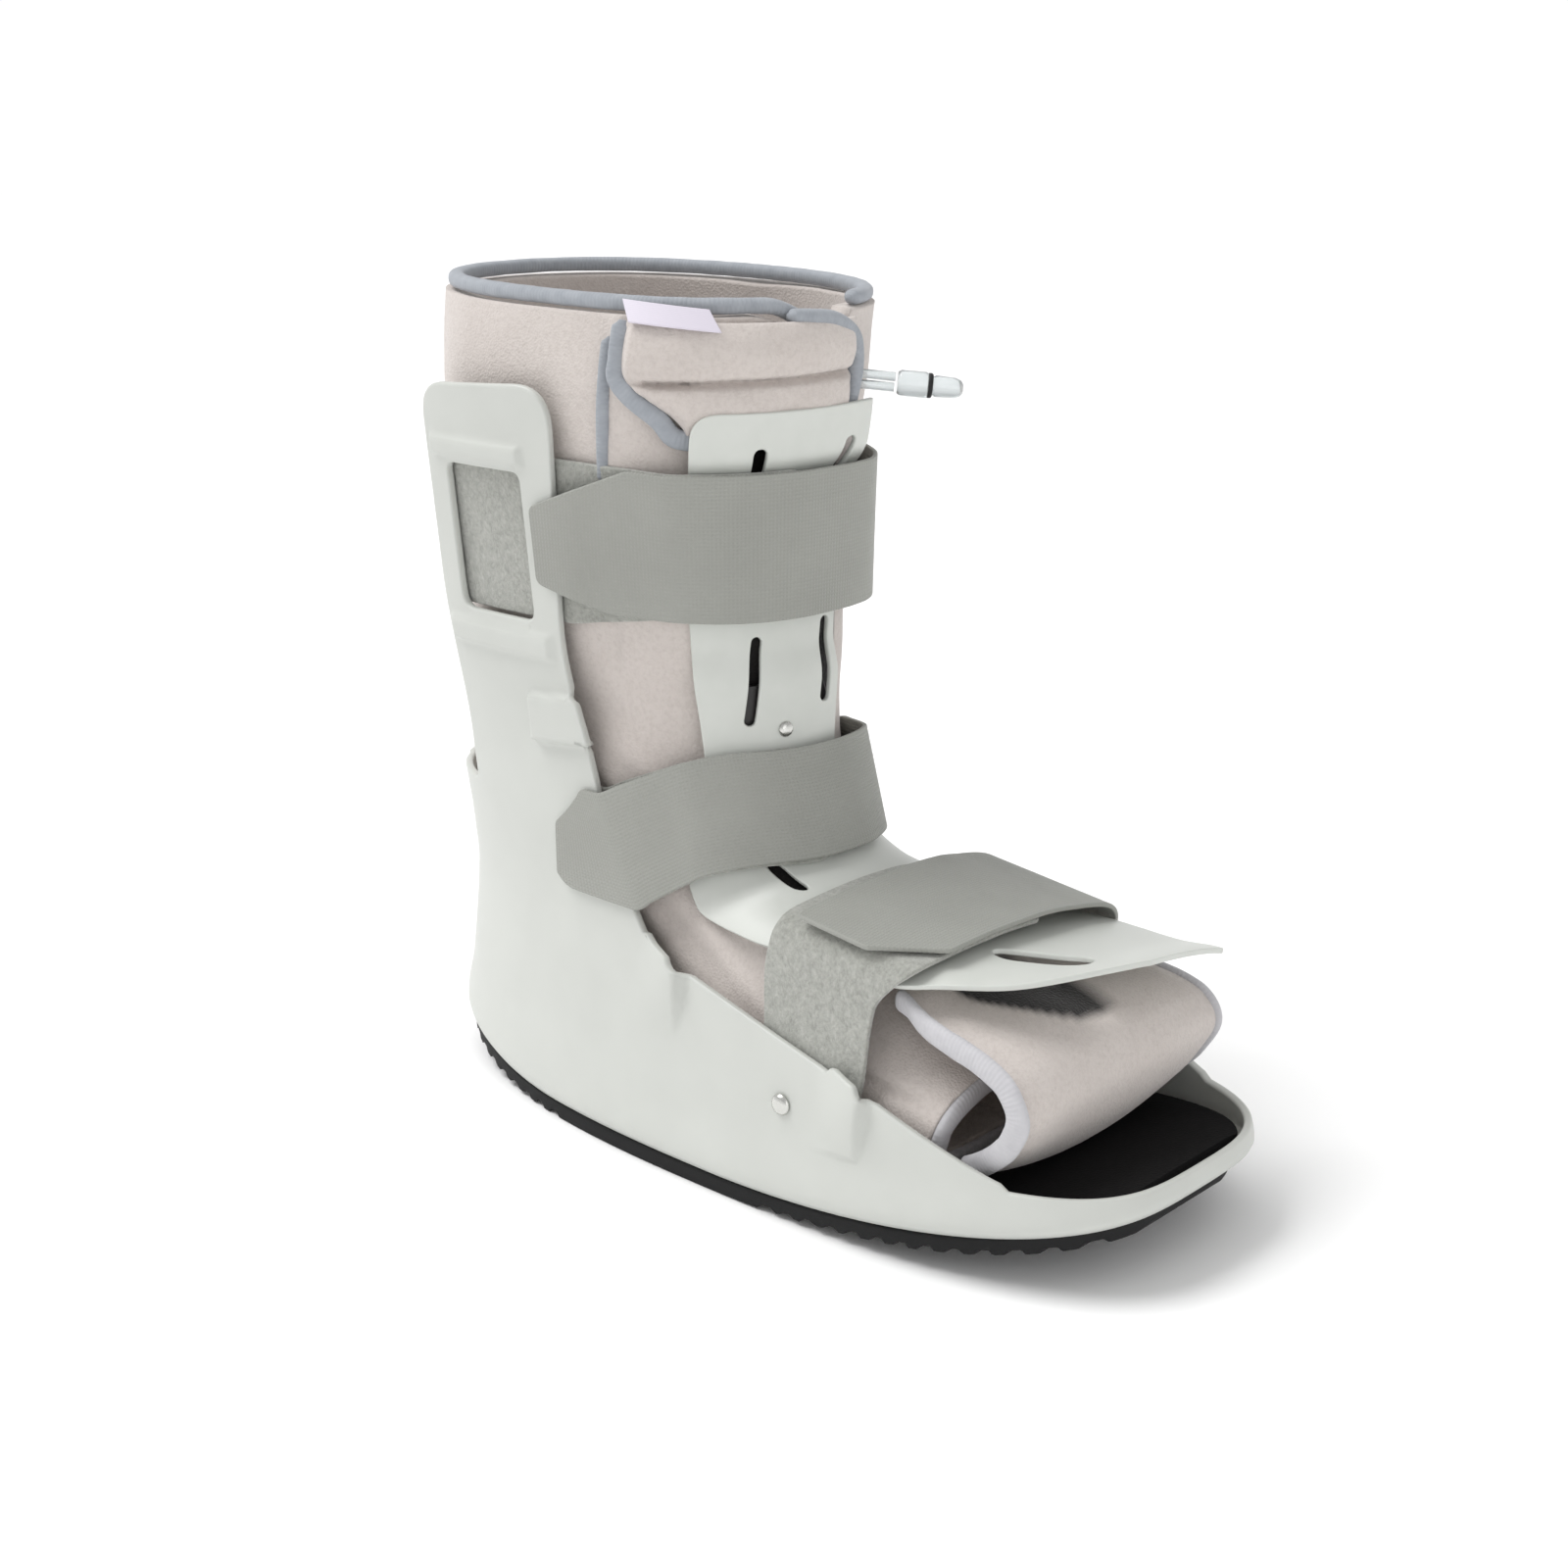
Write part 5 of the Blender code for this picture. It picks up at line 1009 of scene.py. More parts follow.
def bias_tape(name, path, half_wide, half_thick, facing, cad_node, mat=grey_tape, closed=False, ends=0.35):
    """Tape folded round an edge that runs along a path; facing gives the way its flat side looks at a point."""
    count = len(path)
    length = sum((b - a).length for a, b in zip(path, path[1:]))

    def place(s, t):
        i = min(int(round(t * (count if closed else count - 1))), count if closed else count - 1)
        centre = path[i % count]
        before = path[(i - 1) % count] if closed else path[max(i - 1, 0)]
        after = path[(i + 1) % count] if closed else path[min(i + 1, count - 1)]
        ahead = (after - before).normalized()
        out = Vector(facing(centre))
        out = (out - ahead * out.dot(ahead)).normalized()
        side = ahead.cross(out)
        turn = 2 * math.pi * s
        size = 1.0 if closed else mix(ends, 1.0, smoothstep(min(i, count - 1 - i) / 2.5))
        rough = 1.0 + 0.05 * noise.noise(centre * 160.0)
        return centre + size * rough * (side * half_wide * power(math.cos(turn), 0.85)
                                        + out * half_thick * power(math.sin(turn), 0.85))

    rows = count if closed else count - 1
    piece = solid_grid(name, 20, rows, place, (2 * (half_wide + half_thick) * 1.6, length))
    return settle(piece, mat, "binding_tape", *([cad_node] if cad_node else []))


def away_from_leg(point):
    return Vector((point.x - LEG_CENTRE.x, point.y, 0.0)).normalized()


COLLAR_RADIUS = 0.0024
rim = []
for k in range(45):
    degrees = mix(11.0, 335.0, k / 44)
    point = off_loop(liner_loop, 0.0, math.radians(degrees), -LINER_WALL / 2)
    rim.append(Vector((point.x, point.y, loop_point(liner_loop, 0.0, math.radians(degrees)).z + 0.0030)))
dip = [(-18.0, 0.0022, -0.0020), (-10.0, -0.0012, -0.0024), (-3.0, -0.0052, -0.0034), (4.0, -0.0090, -0.0056)]
for degrees, drop, inward in dip:
    point = off_loop(liner_loop, 0.0, math.radians(degrees), inward - 0.001)
    rim.append(Vector((point.x, point.y, point.z + drop)))
bias_tape("collar_tape", flowing(rim, 260), COLLAR_RADIUS, COLLAR_RADIUS * 1.15, lambda p: away_from_leg(p),
          "collar_binding")

tape_out = FABRIC_GAP + FLAP_THICKNESS / 2 + 0.0006
path = []
for k in range(7):
    z = mix(FLAP_HIGH_Z, FLAP_LOW_Z + 0.002, k / 6)
    near = mix(-43.0, -61.0, smoothstep((z - FLAP_LOW_Z) / 0.020))
    path.append(on_liner(near - 1.2, z - 0.0004 * k / 6, tape_out))
for k in range(1, 9):
    path.append(on_liner(mix(-40.0, FLAP_FAR, k / 8), FLAP_LOW_Z + 0.0006, tape_out))
bias_tape("front_flap_tape", flowing(path, 110), 0.0030, 0.0020, away_from_leg, "flap_binding")
far_side = [on_liner(degrees, z, out) for degrees, z, out in (
    (-16.0, 0.2678, 0.0010), (-9.0, 0.2672, 0.0022), (-2.0, 0.2650, 0.0034), (3.5, 0.2606, tape_out),
    (6.6, 0.2540, tape_out), (7.2, 0.2460, tape_out), (6.0, 0.2380, tape_out), (2.0, 0.2315, tape_out))]
bias_tape("front_flap_end_tape", flowing(far_side, 80), 0.0023, 0.0028, away_from_leg, None)

upright = [on_liner(PANEL_EDGE + 0.8, mix(0.2600, 0.2160, k / 8), 0.0014) for k in range(9)]
bias_tape("near_panel_tape", flowing(upright, 60), 0.0021, 0.0015, away_from_leg, "edge_binding", ends=0.15)

for name, side, cad_node in (("toe_flap_tape_near", -1, "toe_binding_near"), ("toe_flap_tape_far", 1,
                                                                              "toe_binding_far")):
    path = [toe_flap_point(k / 30, side, 0.0) + Vector((0.0, side * (0.0012 if side < 0 else -0.0012), 0.0))
            for k in range(31)]
    bias_tape(name, flowing(path, 130), 0.0020 if side < 0 else 0.0018, 0.0037 if side < 0 else 0.0030, lambda p: Vector((p.x - 0.104, 0.0, p.z - 0.045)), cad_node,
              white_tape)
opening = []
for k in range(48):
    angle = 2 * math.pi * k / 48
    edge = loop_point(liner_loop, LAST_LOOP, angle)
    ahead = (edge - loop_point(liner_loop, LAST_LOOP - 0.02, angle)).normalized()
    opening.append(off_loop(liner_loop, LAST_LOOP, angle, -LINER_WALL / 2) + ahead * 0.0012)
opening_middle = sum(opening, Vector()) / len(opening)
bias_tape("toe_opening_tape", flowing(opening, 220, closed=True), 0.0019, 0.0039,
          lambda p: p - opening_middle, "toe_opening_binding", white_tape, closed=True)

# ---------------------------------------------------------------------------------------------------------------
# Label. A small blank tab of white satin ribbon, sewn under the collar binding on the near side; its end stands off.
# ---------------------------------------------------------------------------------------------------------------
LABEL_WIDTH, LABEL_DROP, LABEL_THICKNESS = 0.026, 0.0062, 0.0008

# Woven satin ribbon: white with a lilac cast, silky.
satin, satin_tree, satin_shader = surface("white satin ribbon", "#D6D0DC", 0.45, sheen_weight=0.3)
cloth_uv = node(satin_tree, "ShaderNodeUVMap", {"uv_map": "cloth"}).outputs["UV"]
threads = node(satin_tree, "ShaderNodeTexWave", {"bands_direction": "Y", "Scale": 1 / 0.0016}, {"Vector": cloth_uv})
bump = node(satin_tree, "ShaderNodeBump", {"Strength": 0.2, "Distance": 0.0001}, {"Height": threads.outputs["Fac"]})
satin_tree.links.new(bump.outputs["Normal"], satin_shader.inputs["Normal"])


def label_place(s, t):
    degrees = mix(-62.0, -39.0, s) + 3.0 * (1 - t)
    point = on_liner(degrees, 0.2635, 0.0040 + 0.0040 * (1 - t))
    return Vector((point.x, point.y, 0.2652 + LABEL_DROP * t - 0.0026 * s))


label = cut_sheet("blank_label", [(0.0, 0.0), (LABEL_WIDTH, 0.0), (LABEL_WIDTH, LABEL_DROP), (0.0, LABEL_DROP)], [],
                  lambda u, v: label_place(u / LABEL_WIDTH, v / LABEL_DROP), 0.0010, LEG_CENTRE,
                  (-LABEL_THICKNESS / 2, LABEL_THICKNESS / 2), 0.0002)
settle(label, satin, "label_fabric", "label")

# ---------------------------------------------------------------------------------------------------------------
# Front plates. Two die-cut sheets of 1.8 mm polyethylene, bent to the leg and the instep, slotted for straps and
# joined by one rivet at the ankle. The lower one runs out over the rolled toe flap.
# ---------------------------------------------------------------------------------------------------------------
PLATE_THICKNESS, PLATE_GAP, SLOT_WIDTH = 0.0018, 0.0008, 0.0036
SHIN_ROWS = smooth_table([0.1280, 0.1650, 0.2300, 0.2390], [(-40.0, 6.0), (-43.0, 9.0), (-41.0, 12.0), (-41.0, 12.0)])
SHIN_SLOTS = [(-22.0, -22.5, 0.2150, 0.2290), (2.5, 4.5, 0.2180, 0.2300), (-26.5, -21.0, 0.1412, 0.1690),
              (1.5, 4.5, 0.1455, 0.1720)]
FOOT_SLOTS = [((3.42, 0.315, 0.0042), (4.25, 0.315, 0.0042)), ((7.70, 0.350, 0.0086), (9.40, 0.316, 0.0086))]
# The foot plate's loops, as the liner's, and the angles that its near and far edges reach.
PLATE_LOOPS = [
    (0.030, 0.540, 0.608, 0.570, 0.838, 0.830, 2.3, 2.2, 0.075, 0.00, -32, 3),
    (0.034, 0.463, 0.608, 0.525, 0.810, 0.810, 2.3, 2.2, 0.070, 0.00, -38, 8),
    (0.038, 0.326, 0.620, 0.450, 0.770, 0.825, 2.3, 2.2, 0.100, 0.02, -43, 14),
    (0.034, 0.204, 0.646, 0.392, 0.755, 0.850, 2.4, 2.2, 0.110, 0.04, -50, 21),
    (0.100, 0.130, 0.712, 0.350, 0.760, 0.880, 2.6, 2.2, 0.080, 0.06, -58, 38),
    (0.420, 0.160, 0.774, 0.331, 0.840, 0.920, 2.6, 2.3, 0.040, 0.08, -65, 48),
    (0.700, 0.215, 0.850, 0.317, 0.920, 0.945, 2.6, 2.3, 0.000, 0.10, -70, 52),
    (0.870, 0.240, 0.925, 0.308, 0.945, 0.950, 2.6, 2.3, 0.000, 0.10, -73, 56),
    (0.960, 0.240, 0.985, 0.306, 0.940, 0.950, 2.6, 2.3, 0.000, 0.10, -59, 62),
    (1.020, 0.240, 1.045, 0.306, 0.940, 0.945, 2.6, 2.3, 0.000, 0.10, -42, 65),
    (1.062, 0.240, 1.085, 0.307, 0.935, 0.940, 2.6, 2.3, 0.000, 0.10, -21, 66),
    (1.098, 0.240, 1.113, 0.308, 0.930, 0.935, 2.6, 2.3, 0.000, 0.10, 6, 64),
]
plate_row = smooth_table(list(range(12)), PLATE_LOOPS)
DEGREE = 0.0010
PLACE = 0.0120

# Polyethylene sheet, die-cut: paler than the shell, smooth, a little waxy, with faint rub marks.
plate_plastic, plate_tree, plate_shader = surface("die-cut polyethylene sheet", "#DDDFDA", 0.36, ior=1.51,
                                                  subsurface_weight=0.08)
plate_shader.inputs["Subsurface Radius"].default_value = (0.002, 0.002, 0.002)
where = node(plate_tree, "ShaderNodeTexCoord").outputs["Object"]
rubbed = node(plate_tree, "ShaderNodeTexNoise", {"Scale": 1 / 0.009, "Detail": 4.0}, {"Vector": where})
gloss = node(plate_tree, "ShaderNodeMapRange", {"To Min": 0.28, "To Max": 0.48}, {"Value": rubbed.outputs["Fac"]})
plate_tree.links.new(gloss.outputs["Result"], plate_shader.inputs["Roughness"])
tone = node(plate_tree, "ShaderNodeMix", {"data_type": "RGBA", 6: colour("#C6C9C3"), 7: colour("#D0D2CD")},
            {0: rubbed.outputs["Fac"]})
# Painted shade: where the foot plate lies under the shin plate's slots it is painted near black.
under = node(plate_tree, "ShaderNodeAttribute", {"attribute_name": "slot_shade"})
slot_shade_mix = node(plate_tree, "ShaderNodeMix", {"data_type": "RGBA", 7: colour("#1D1B1A")},
             {0: under.outputs["Fac"], 6: tone.outputs[2]})
plate_tree.links.new(slot_shade_mix.outputs[2], plate_shader.inputs["Base Color"])
skin = node(plate_tree, "ShaderNodeTexNoise", {"Scale": 1 / 0.0011, "Detail": 1.0}, {"Vector": where})
bump = node(plate_tree, "ShaderNodeBump", {"Strength": 0.05, "Distance": 0.0002}, {"Height": skin.outputs["Fac"]})
plate_tree.links.new(bump.outputs["Normal"], plate_shader.inputs["Normal"])


def slot_hole(low, high, width=SLOT_WIDTH):
    """Round-ended slot between two places of a flat sheet."""
    low, high = Vector(low), Vector(high)
    along = (high - low).normalized()
    across = Vector((-along.y, along.x))
    half = width / 2
    hole = []
    for centre, end in ((high - along * half, 1), (low + along * half, -1)):
        for k in range(9):
            turn = math.pi * (k / 8 - 0.5)
            hole.append(centre + along * end * half * math.cos(turn) + across * end * half * math.sin(turn))
    return hole


def shin_plate_offset(z):
    """Stand-off of the shin plate's inner face: over the foot plate below, over the front flap above."""
    over_foot_plate = (PLATE_THICKNESS + PLATE_GAP) * smoothstep((0.1660 - z) / 0.0130)
    over_flap = (FLAP_THICKNESS + FABRIC_GAP) * smoothstep((z - 0.2110) / 0.0180)
    return PLATE_GAP + over_foot_plate + over_flap


near_edge = [(SHIN_ROWS(z)[0] * DEGREE, z) for z in np.linspace(0.1300, 0.2280, 26)]
far_edge = [(SHIN_ROWS(z)[1] * DEGREE, z) for z in np.linspace(0.2400, 0.1300, 28)]
top = rounded([(-0.0410, 0.2240, 0), (-0.0410, 0.2395, 0.0120), (0.0115, 0.2405, 0)], closed=False, steps=10)
outline = near_edge[:-2] + [tuple(p) for p in top] + far_edge[1:]
holes = [slot_hole((a * DEGREE, p), (b * DEGREE, q)) for a, b, p, q in SHIN_SLOTS]
shin_plate = cut_sheet("shin_plate_sheet", outline, holes,
                       lambda u, v: on_liner(u / DEGREE, v, shin_plate_offset(v)), 0.0018, LEG_CENTRE,
                       (0.0, PLATE_THICKNESS), 0.0005)
settle(shin_plate, plate_plastic, "plate_plastic", "shin_plate")


def foot_plate_place(u, v):
    place = v / PLACE
    ripple = 0.0004 * math.sin(v * 160.0) * smoothstep((v - 0.06) / 0.02)
    return off_loop(lambda at: plate_row(at)[:10], place, math.radians(u / DEGREE), PLATE_GAP + ripple)


steps = np.linspace(0.0, 11.0, 80)
near_edge = [(plate_row(k)[10] * DEGREE, k * PLACE) for k in steps]
far_edge = [(plate_row(k)[11] * DEGREE, k * PLACE) for k in steps[::-1]]


def plate_flat(place, share):
    row = plate_row(place)
    return mix(row[10], row[11], share) * DEGREE, place * PLACE


holes = [slot_hole(plate_flat(*start[:2]), plate_flat(*end[:2]), start[2]) for start, end in FOOT_SLOTS]
foot_plate = cut_sheet("foot_plate_sheet", near_edge + far_edge, holes, foot_plate_place, 0.0020, FOOT_CENTRE,
                       (0.0, PLATE_THICKNESS), 0.0005)
settle(foot_plate, plate_plastic, "plate_plastic", "foot_plate")

shin_lines = [(on_liner(a, p, 0.004), on_liner(b, q, 0.004)) for a, b, p, q in SHIN_SLOTS]
foot_lines = [(foot_plate_place(*plate_flat(*start[:2])), foot_plate_place(*plate_flat(*end[:2])))
              for start, end in FOOT_SLOTS]


def paint_slot_shade(piece, lines, reach):
    """Writes painted shade: 1 on the points of a piece that lie under a slot, up to a distance from it, which the
    finishes turn near black.
    """
    layer = piece.data.attributes.new("slot_shade", "FLOAT", "POINT")
    places = np.array([tuple(vert.co) for vert in piece.data.vertices])
    near = np.full(len(places), 1.0)
    for a, b in lines:
        a, b = np.array(a), np.array(b)
        share = np.clip((places - a) @ (b - a) / np.dot(b - a, b - a), 0.0, 1.0)
        near = np.minimum(near, np.linalg.norm(places - a - share[:, None] * (b - a), axis=1))
    layer.data.foreach_set("value", np.clip((reach - near) / 0.002, 0.0, 1.0).astype(np.float32))


# Painted shade under the slots, on the liner, the two flaps and the foot plate.
paint_slot_shade(liner, shin_lines + foot_lines, 0.0112)
paint_slot_shade(front_flap, shin_lines, 0.0112)
paint_slot_shade(toe_flap, foot_lines, 0.0165)
paint_slot_shade(foot_plate, shin_lines, 0.0112)

# ---------------------------------------------------------------------------------------------------------------
# Rivets. Nickel-plated brass with pressed domed heads: one in each side wall, and a small one through the plates.
# ---------------------------------------------------------------------------------------------------------------
WALL_RIVET = (0.0440, 0.0380, 0.0033)
PLATE_RIVET_RADIUS = 0.0024
RIVET_PROFILE = ((0.0, 0.0), (0.0, 1.0), (0.12, 1.04), (0.20, 1.0), (0.34, 0.90), (0.46, 0.72), (0.54, 0.48),
                 (0.585, 0.22), (0.60, 0.0))

# Nickel plate, polished: bright, a little yellow, with fine handling marks.
nickel, nickel_tree, nickel_shader = surface("polished nickel plate", "#CFCFCB", 0.22, metallic=1.0)
where = node(nickel_tree, "ShaderNodeTexCoord").outputs["Object"]
marks = node(nickel_tree, "ShaderNodeTexNoise", {"Scale": 1 / 0.0008, "Detail": 3.0}, {"Vector": where})
gloss = node(nickel_tree, "ShaderNodeMapRange", {"To Min": 0.16, "To Max": 0.34}, {"Value": marks.outputs["Fac"]})
nickel_tree.links.new(gloss.outputs["Result"], nickel_shader.inputs["Roughness"])

for name, side, cad_node in (("wall_rivet_head_near", -1, "wall_rivet_near"),
                             ("wall_rivet_head_far", 1, "wall_rivet_far")):
    x, z, radius = WALL_RIVET
    base = Vector((x, side * (shell_half_width(x, z) + 0.0002), z))
    head = turned(name, [(rise * radius, share * radius) for rise, share in RIVET_PROFILE], base,
                  Vector((0.0, side, 0.0)))
    settle(head, nickel, "rivet_metal", cad_node)
base = on_liner(-14.0, 0.1390, shin_plate_offset(0.1390) + PLATE_THICKNESS)
axis = (on_liner(-14.0, 0.1390, 0.005) - on_liner(-14.0, 0.1390, 0.0)).normalized()
head = turned("plate_rivet_head", [(rise * PLATE_RIVET_RADIUS, share * PLATE_RIVET_RADIUS)
                                   for rise, share in RIVET_PROFILE], base, axis)
settle(head, nickel, "rivet_metal", "plate_rivet")

# ---------------------------------------------------------------------------------------------------------------
# Straps. Three pairs: a felted loop strap from inside the near wall, and over it a smooth one from inside the far
# wall, whose hook-faced end is cut to a blunt point. Nylon, 1.6 mm thick, riveted and sewn inside the shell.
# ---------------------------------------------------------------------------------------------------------------
STRAP_THICKNESS, STRAP_GAP = 0.0016, 0.0006
INSIDE = -(SHELL_WALL + 0.0008 + STRAP_THICKNESS)
OUTSIDE = 0.0008

# Nylon sheet tab: warm grey, smooth and slightly silky, with a very fine cross weave.
smooth_nylon, nylon_tree, nylon_shader = surface("smooth woven nylon", "#9FA09A", 0.62, specular_ior_level=0.35,
                                                 sheen_weight=0.15)
cloth_uv = node(nylon_tree, "ShaderNodeUVMap", {"uv_map": "cloth"}).outputs["UV"]
warp = node(nylon_tree, "ShaderNodeTexWave", {"Scale": 0.314 / 0.0012, "Distortion": 0.4}, {"Vector": cloth_uv})
weft = node(nylon_tree, "ShaderNodeTexWave", {"bands_direction": "Y", "Scale": 0.314 / 0.0012, "Distortion": 0.4},
            {"Vector": cloth_uv})
weave = node(nylon_tree, "ShaderNodeMath", {"operation": "MULTIPLY"},
             {0: warp.outputs["Fac"], 1: weft.outputs["Fac"]})
bump = node(nylon_tree, "ShaderNodeBump", {"Strength": 0.6, "Distance": 0.0003}, {"Height": weave.outputs["Value"]})
nylon_tree.links.new(bump.outputs["Normal"], nylon_shader.inputs["Normal"])
handled = node(nylon_tree, "ShaderNodeTexNoise", {"Scale": 1 / 0.024, "Detail": 4.0}, {"Vector": cloth_uv})
tone = node(nylon_tree, "ShaderNodeMix", {"data_type": "RGBA", 6: colour("#8F908A"), 7: colour("#9D9E98")},
            {0: handled.outputs["Fac"]})
nylon_tree.links.new(tone.outputs[2], nylon_shader.inputs["Base Color"])

# Brushed nylon loop: the same grey, but felted, fuzzy and mottled, without gloss.
loop_felt, felt_tree, felt_shader = surface("brushed nylon loop", "#A5A69F", 1.0, specular_ior_level=0.1,
                                            sheen_weight=0.5, sheen_roughness=0.6)
where = node(felt_tree, "ShaderNodeTexCoord").outputs["Object"]
fuzz = node(felt_tree, "ShaderNodeTexNoise", {"Scale": 1 / 0.0011, "Detail": 6.0, "Roughness": 0.75},
            {"Vector": where})
clumps = node(felt_tree, "ShaderNodeTexNoise", {"Scale": 1 / 0.0022, "Detail": 3.0}, {"Vector": where})
heights = node(felt_tree, "ShaderNodeMath", {"operation": "ADD"}, {0: fuzz.outputs["Fac"], 1: clumps.outputs["Fac"]})
bump = node(felt_tree, "ShaderNodeBump", {"Strength": 0.8, "Distance": 0.0006}, {"Height": heights.outputs["Value"]})
felt_tree.links.new(bump.outputs["Normal"], felt_shader.inputs["Normal"])
tone = node(felt_tree, "ShaderNodeMix", {"data_type": "RGBA", 6: colour("#8A8B84"), 7: colour("#B2B3AC")},
            {0: heights.outputs["Value"]})
spread = node(felt_tree, "ShaderNodeMapRange", {"From Min": 0.6, "From Max": 1.4}, {"Value": heights.outputs["Value"]})
felt_tree.links.new(spread.outputs["Result"], tone.inputs[0])
felt_tree.links.new(tone.outputs[2], felt_shader.inputs["Base Color"])

# back heights are at the walls and front heights over the shin; low_x and high_x are just ahead of the strut.
# tip is where the blunt point ends on the strut, and its corners are how much of the strap's length and width each
# of the two cuts takes off.
LEG_STRAPS = [
    dict(name="calf", back=(0.1760, 0.2220), front=(0.1760, 0.2220), felt_low=0.1700,
         back_x=-0.1030, low_x=-0.0450, high_x=-0.0420, tip_x=-0.0580, plate_far=12.5, low_cut=(0.030, 0.0070), high_cut=(0.036, 0.0150), low_out=0.0045),
    dict(name="ankle", back=(0.0830, 0.1170), front=(0.0972, 0.1325), felt_low=0.0830, back_x=-0.0680, low_x=-0.0210, high_x=-0.0400,
         tip_x=-0.0590, plate_far=20.0, low_cut=(0.004, 0.0040), high_cut=(0.018, 0.0150), low_out=-0.0026),
]
FOREFOOT_LOOP = [
    (-1.000, 0.205, 0.180, 0.455, 0.165), (-1.000, 0.207, 0.215, 0.462, 0.190), (-0.825, 0.212, 0.285, 0.485, 0.275),
    (-0.822, 0.226, 0.325, 0.530, 0.308), (-0.800, 0.236, 0.341, 0.560, 0.322), (-0.750, 0.240, 0.348, 0.572, 0.328),
    (-0.620, 0.240, 0.351, 0.574, 0.330), (-0.450, 0.240, 0.353, 0.574, 0.331), (-0.250, 0.240, 0.354, 0.574, 0.331),
    (-0.050, 0.240, 0.352, 0.574, 0.329), (0.150, 0.240, 0.347, 0.574, 0.324)]
FOREFOOT_HOOK = [
    (1.000, 0.205, 0.180, 0.480, 0.160), (1.000, 0.215, 0.215, 0.500, 0.185), (0.795, 0.235, 0.272, 0.540, 0.257),
    (0.770, 0.252, 0.300, 0.560, 0.281), (0.715, 0.262, 0.319, 0.570, 0.298), (0.620, 0.268, 0.333, 0.576, 0.310),
    (0.500, 0.270, 0.342, 0.578, 0.318), (0.380, 0.273, 0.348, 0.580, 0.324), (0.220, 0.278, 0.356, 0.585, 0.332),
    (0.060, 0.282, 0.360, 0.588, 0.337), (-0.150, 0.287, 0.363, 0.590, 0.340), (-0.350, 0.290, 0.363, 0.590, 0.341),
    (-0.550, 0.292, 0.361, 0.590, 0.340), (-0.750, 0.294, 0.358, 0.590, 0.336), (-0.850, 0.296, 0.356, 0.590, 0.333)]


def lay_strap(name, stations, centre, mat, slot, cad_node, low_cut, high_cut, pitch=0.0022):
    """Strap through stations of a low and a high edge point, its far end cut to a blunt point, then laid."""
    count = 160
    lows, highs = [s[0] for s in stations], [s[1] for s in stations]
    middle = flowing([(a + b) / 2 for a, b in stations], count)
    length = sum((b - a).length for a, b in zip(middle, middle[1:]))
    gone = [0.0]
    for a, b in zip(stations, stations[1:]):
        gone.append(gone[-1] + ((b[0] + b[1]) / 2 - (a[0] + a[1]) / 2).length)
    widths = [(a - b).length for a, b in stations]
    width = max(widths)
    low_line = smooth_line(lows, gone)
    high_line = smooth_line(highs, gone)

    def place(u, v):
        f = u / length * gone[-1]
        low, high = low_line(f), high_line(f)
        point = low.lerp(high, v / width)
        wave = 0.00015 * noise.noise(Vector((u * 45.0, v * 40.0, len(name))))
        return point + (point - centre).normalized() * wave

    (low_run, low_rise), (high_run, high_rise) = low_cut, high_cut
    outline = rounded([(0.0, 0.0, 0), (length - low_run, 0.0, 0.006), (length, low_rise, 0.0035),
                       (length, width - high_rise, 0.0035), (length - high_run, width, 0.006), (0.0, width, 0)])
    piece = cut_sheet(name, [tuple(p) for p in outline], [], place, pitch, centre, (0.0, STRAP_THICKNESS), 0.0005)
    return settle(piece, mat, slot, cad_node)


def smooth_line(points, keys):
    """Function that gives a place on a smooth line through points at some distances."""
    table = smooth_table(keys, [tuple(p) for p in points])
    return lambda key: Vector(table(key))


def wall_pair(low_x, high_x, low, high, side, offset):
    """Strap station along the shell's side; offset is measured out from its outer face."""
    return tuple(Vector((x, side * (shell_half_width(x, z) + offset), z)) for x, z in ((low_x, low), (high_x, high)))


def liner_pair(degrees, low, high, layers, plate_far, low_out):
    """Strap station over the liner and the plates, with a number of straps already under it."""
    stack = PLATE_GAP + layers * (STRAP_THICKNESS + STRAP_GAP)
    plates = 1.0 - smoothstep((degrees - plate_far) / 20.0)
    lean = low_out * smoothstep((60.0 - abs(degrees)) / 45.0)
    return tuple(on_liner(degrees, z, (shin_plate_offset(z) + PLATE_THICKNESS) * plates + stack + more)
                 for z, more in ((low, lean), (high, 0.0)))


def bridge(start, end, count):
    """Straight stations between two, without the two themselves."""
    return [tuple(a.lerp(b, k / count) for a, b in zip(start, end)) for k in range(1, count)]


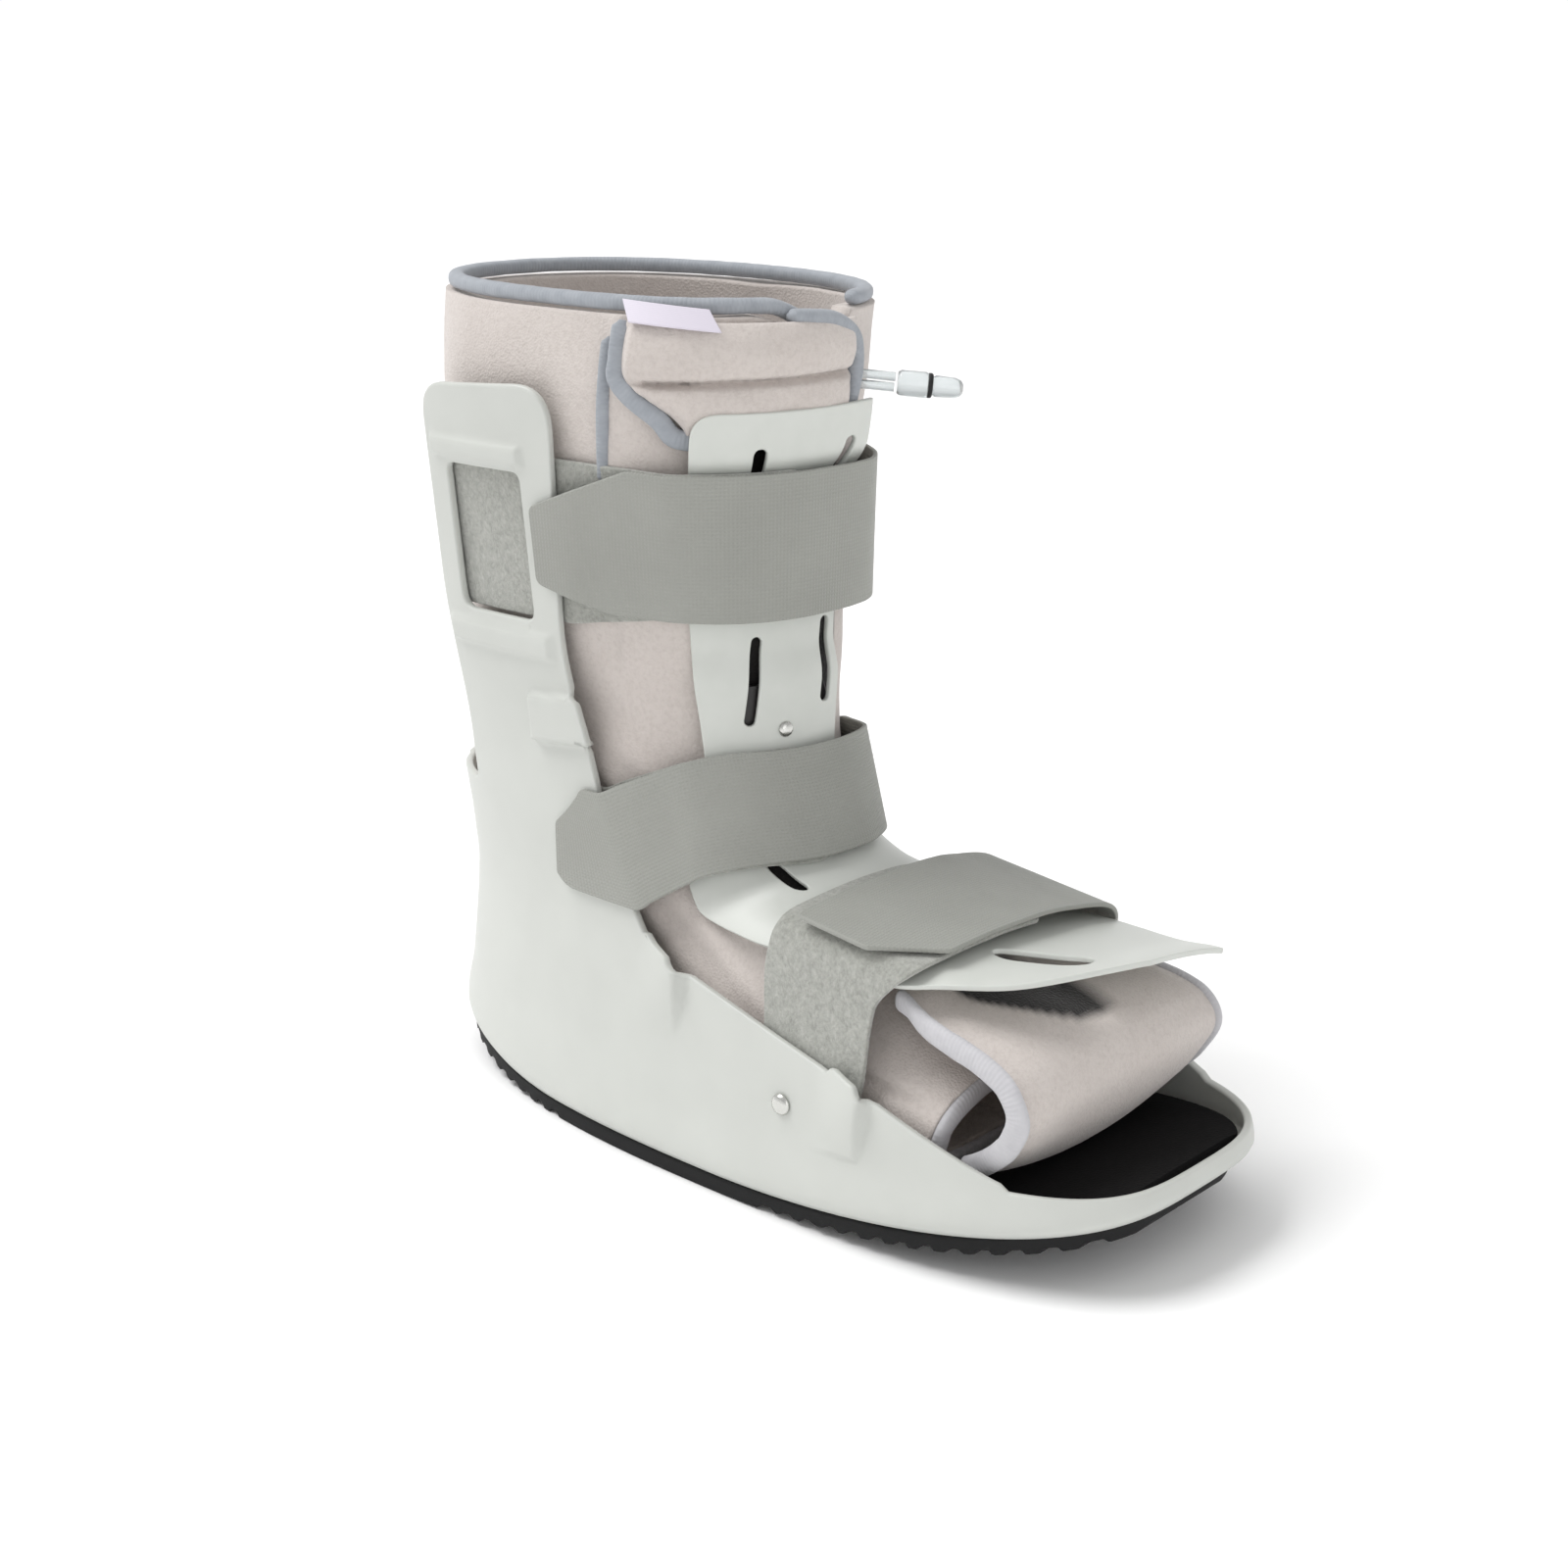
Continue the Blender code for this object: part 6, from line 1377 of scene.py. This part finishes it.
for row in LEG_STRAPS:
    def edges(share, row=row):
        return tuple(mix(a, b, share) for a, b in zip(row["back"], row["front"]))

    def around(degrees):
        return edges(smoothstep((90.0 - abs(degrees)) / 62.0))

    def on_wall(share, side, offset, row=row):
        return wall_pair(mix(row["back_x"], row["low_x"], share), mix(row["back_x"], row["high_x"], share),
                         *edges(0.0, row), side, offset)

    over = (row["plate_far"], row["low_out"])
    stations = [on_wall(0.22 * k, 1, INSIDE) for k in range(5)]
    far = [liner_pair(degrees, *around(degrees), 0, *over) for degrees in (55, 45, 35)]
    far += [liner_pair(degrees, *around(degrees), 1, *over) for degrees in (22, 11, 2, -8, -18, -28, -37, -46)]
    stations += bridge(stations[-1], far[0], 2) + far
    landing = on_wall(1.0, -1, OUTSIDE)
    stations += bridge(far[-1], landing, 4) + [landing]
    tip = row["tip_x"]
    stations.append(wall_pair(mix(row["low_x"], tip, 0.5), mix(row["high_x"], tip, 0.5), *edges(0.0), -1, OUTSIDE))
    stations.append(wall_pair(tip, tip, *edges(0.0), -1, OUTSIDE))
    lay_strap(row["name"] + "_hook_strap", stations, LEG_CENTRE, smooth_nylon, "smooth_strap",
              row["name"] + "_strap", row["low_cut"], row["high_cut"])
    row = dict(row, back=(row["felt_low"], row["back"][1]))
    stations = [on_wall(0.22 * k, -1, INSIDE, row) for k in range(5)]
    near = [liner_pair(degrees, *around(degrees), 0, *over) for degrees in (-46, -37, -28, -18, -8)]
    stations += bridge(stations[-1], near[0], 3) + near
    lay_strap(row["name"] + "_felt_strap", stations, LEG_CENTRE, loop_felt, "loop_felt",
              row["name"] + "_loop_strap", (0.004, 0.004), (0.004, 0.004))

for name, table, mat, slot, cad_node, low_cut, high_cut in (
        ("forefoot_felt_strap", FOREFOOT_LOOP, loop_felt, "loop_felt", "forefoot_loop_strap",
         (0.004, 0.004), (0.004, 0.004)),
        ("forefoot_hook_strap", FOREFOOT_HOOK, smooth_nylon, "smooth_strap", "forefoot_strap",
         (0.002, 0.001), (0.016, 0.020))):
    stations = []
    for share, rear, rear_z, front, front_z in table:
        station = []
        for x, z in ((rear * SOLE_TOE_X, rear_z * LINER_HEIGHT), (front * SOLE_TOE_X, front_z * LINER_HEIGHT)):
            y = share * SOLE_HALF_WIDTH
            if abs(share) == 1:
                y = share * (shell_half_width(x, z) - SHELL_WALL - FABRIC_GAP - STRAP_THICKNESS)
            station.append(Vector((x, y, z)))
        stations.append(tuple(station))
    lay_strap(name, stations, FOOT_CENTRE, mat, slot, cad_node, low_cut, high_cut)
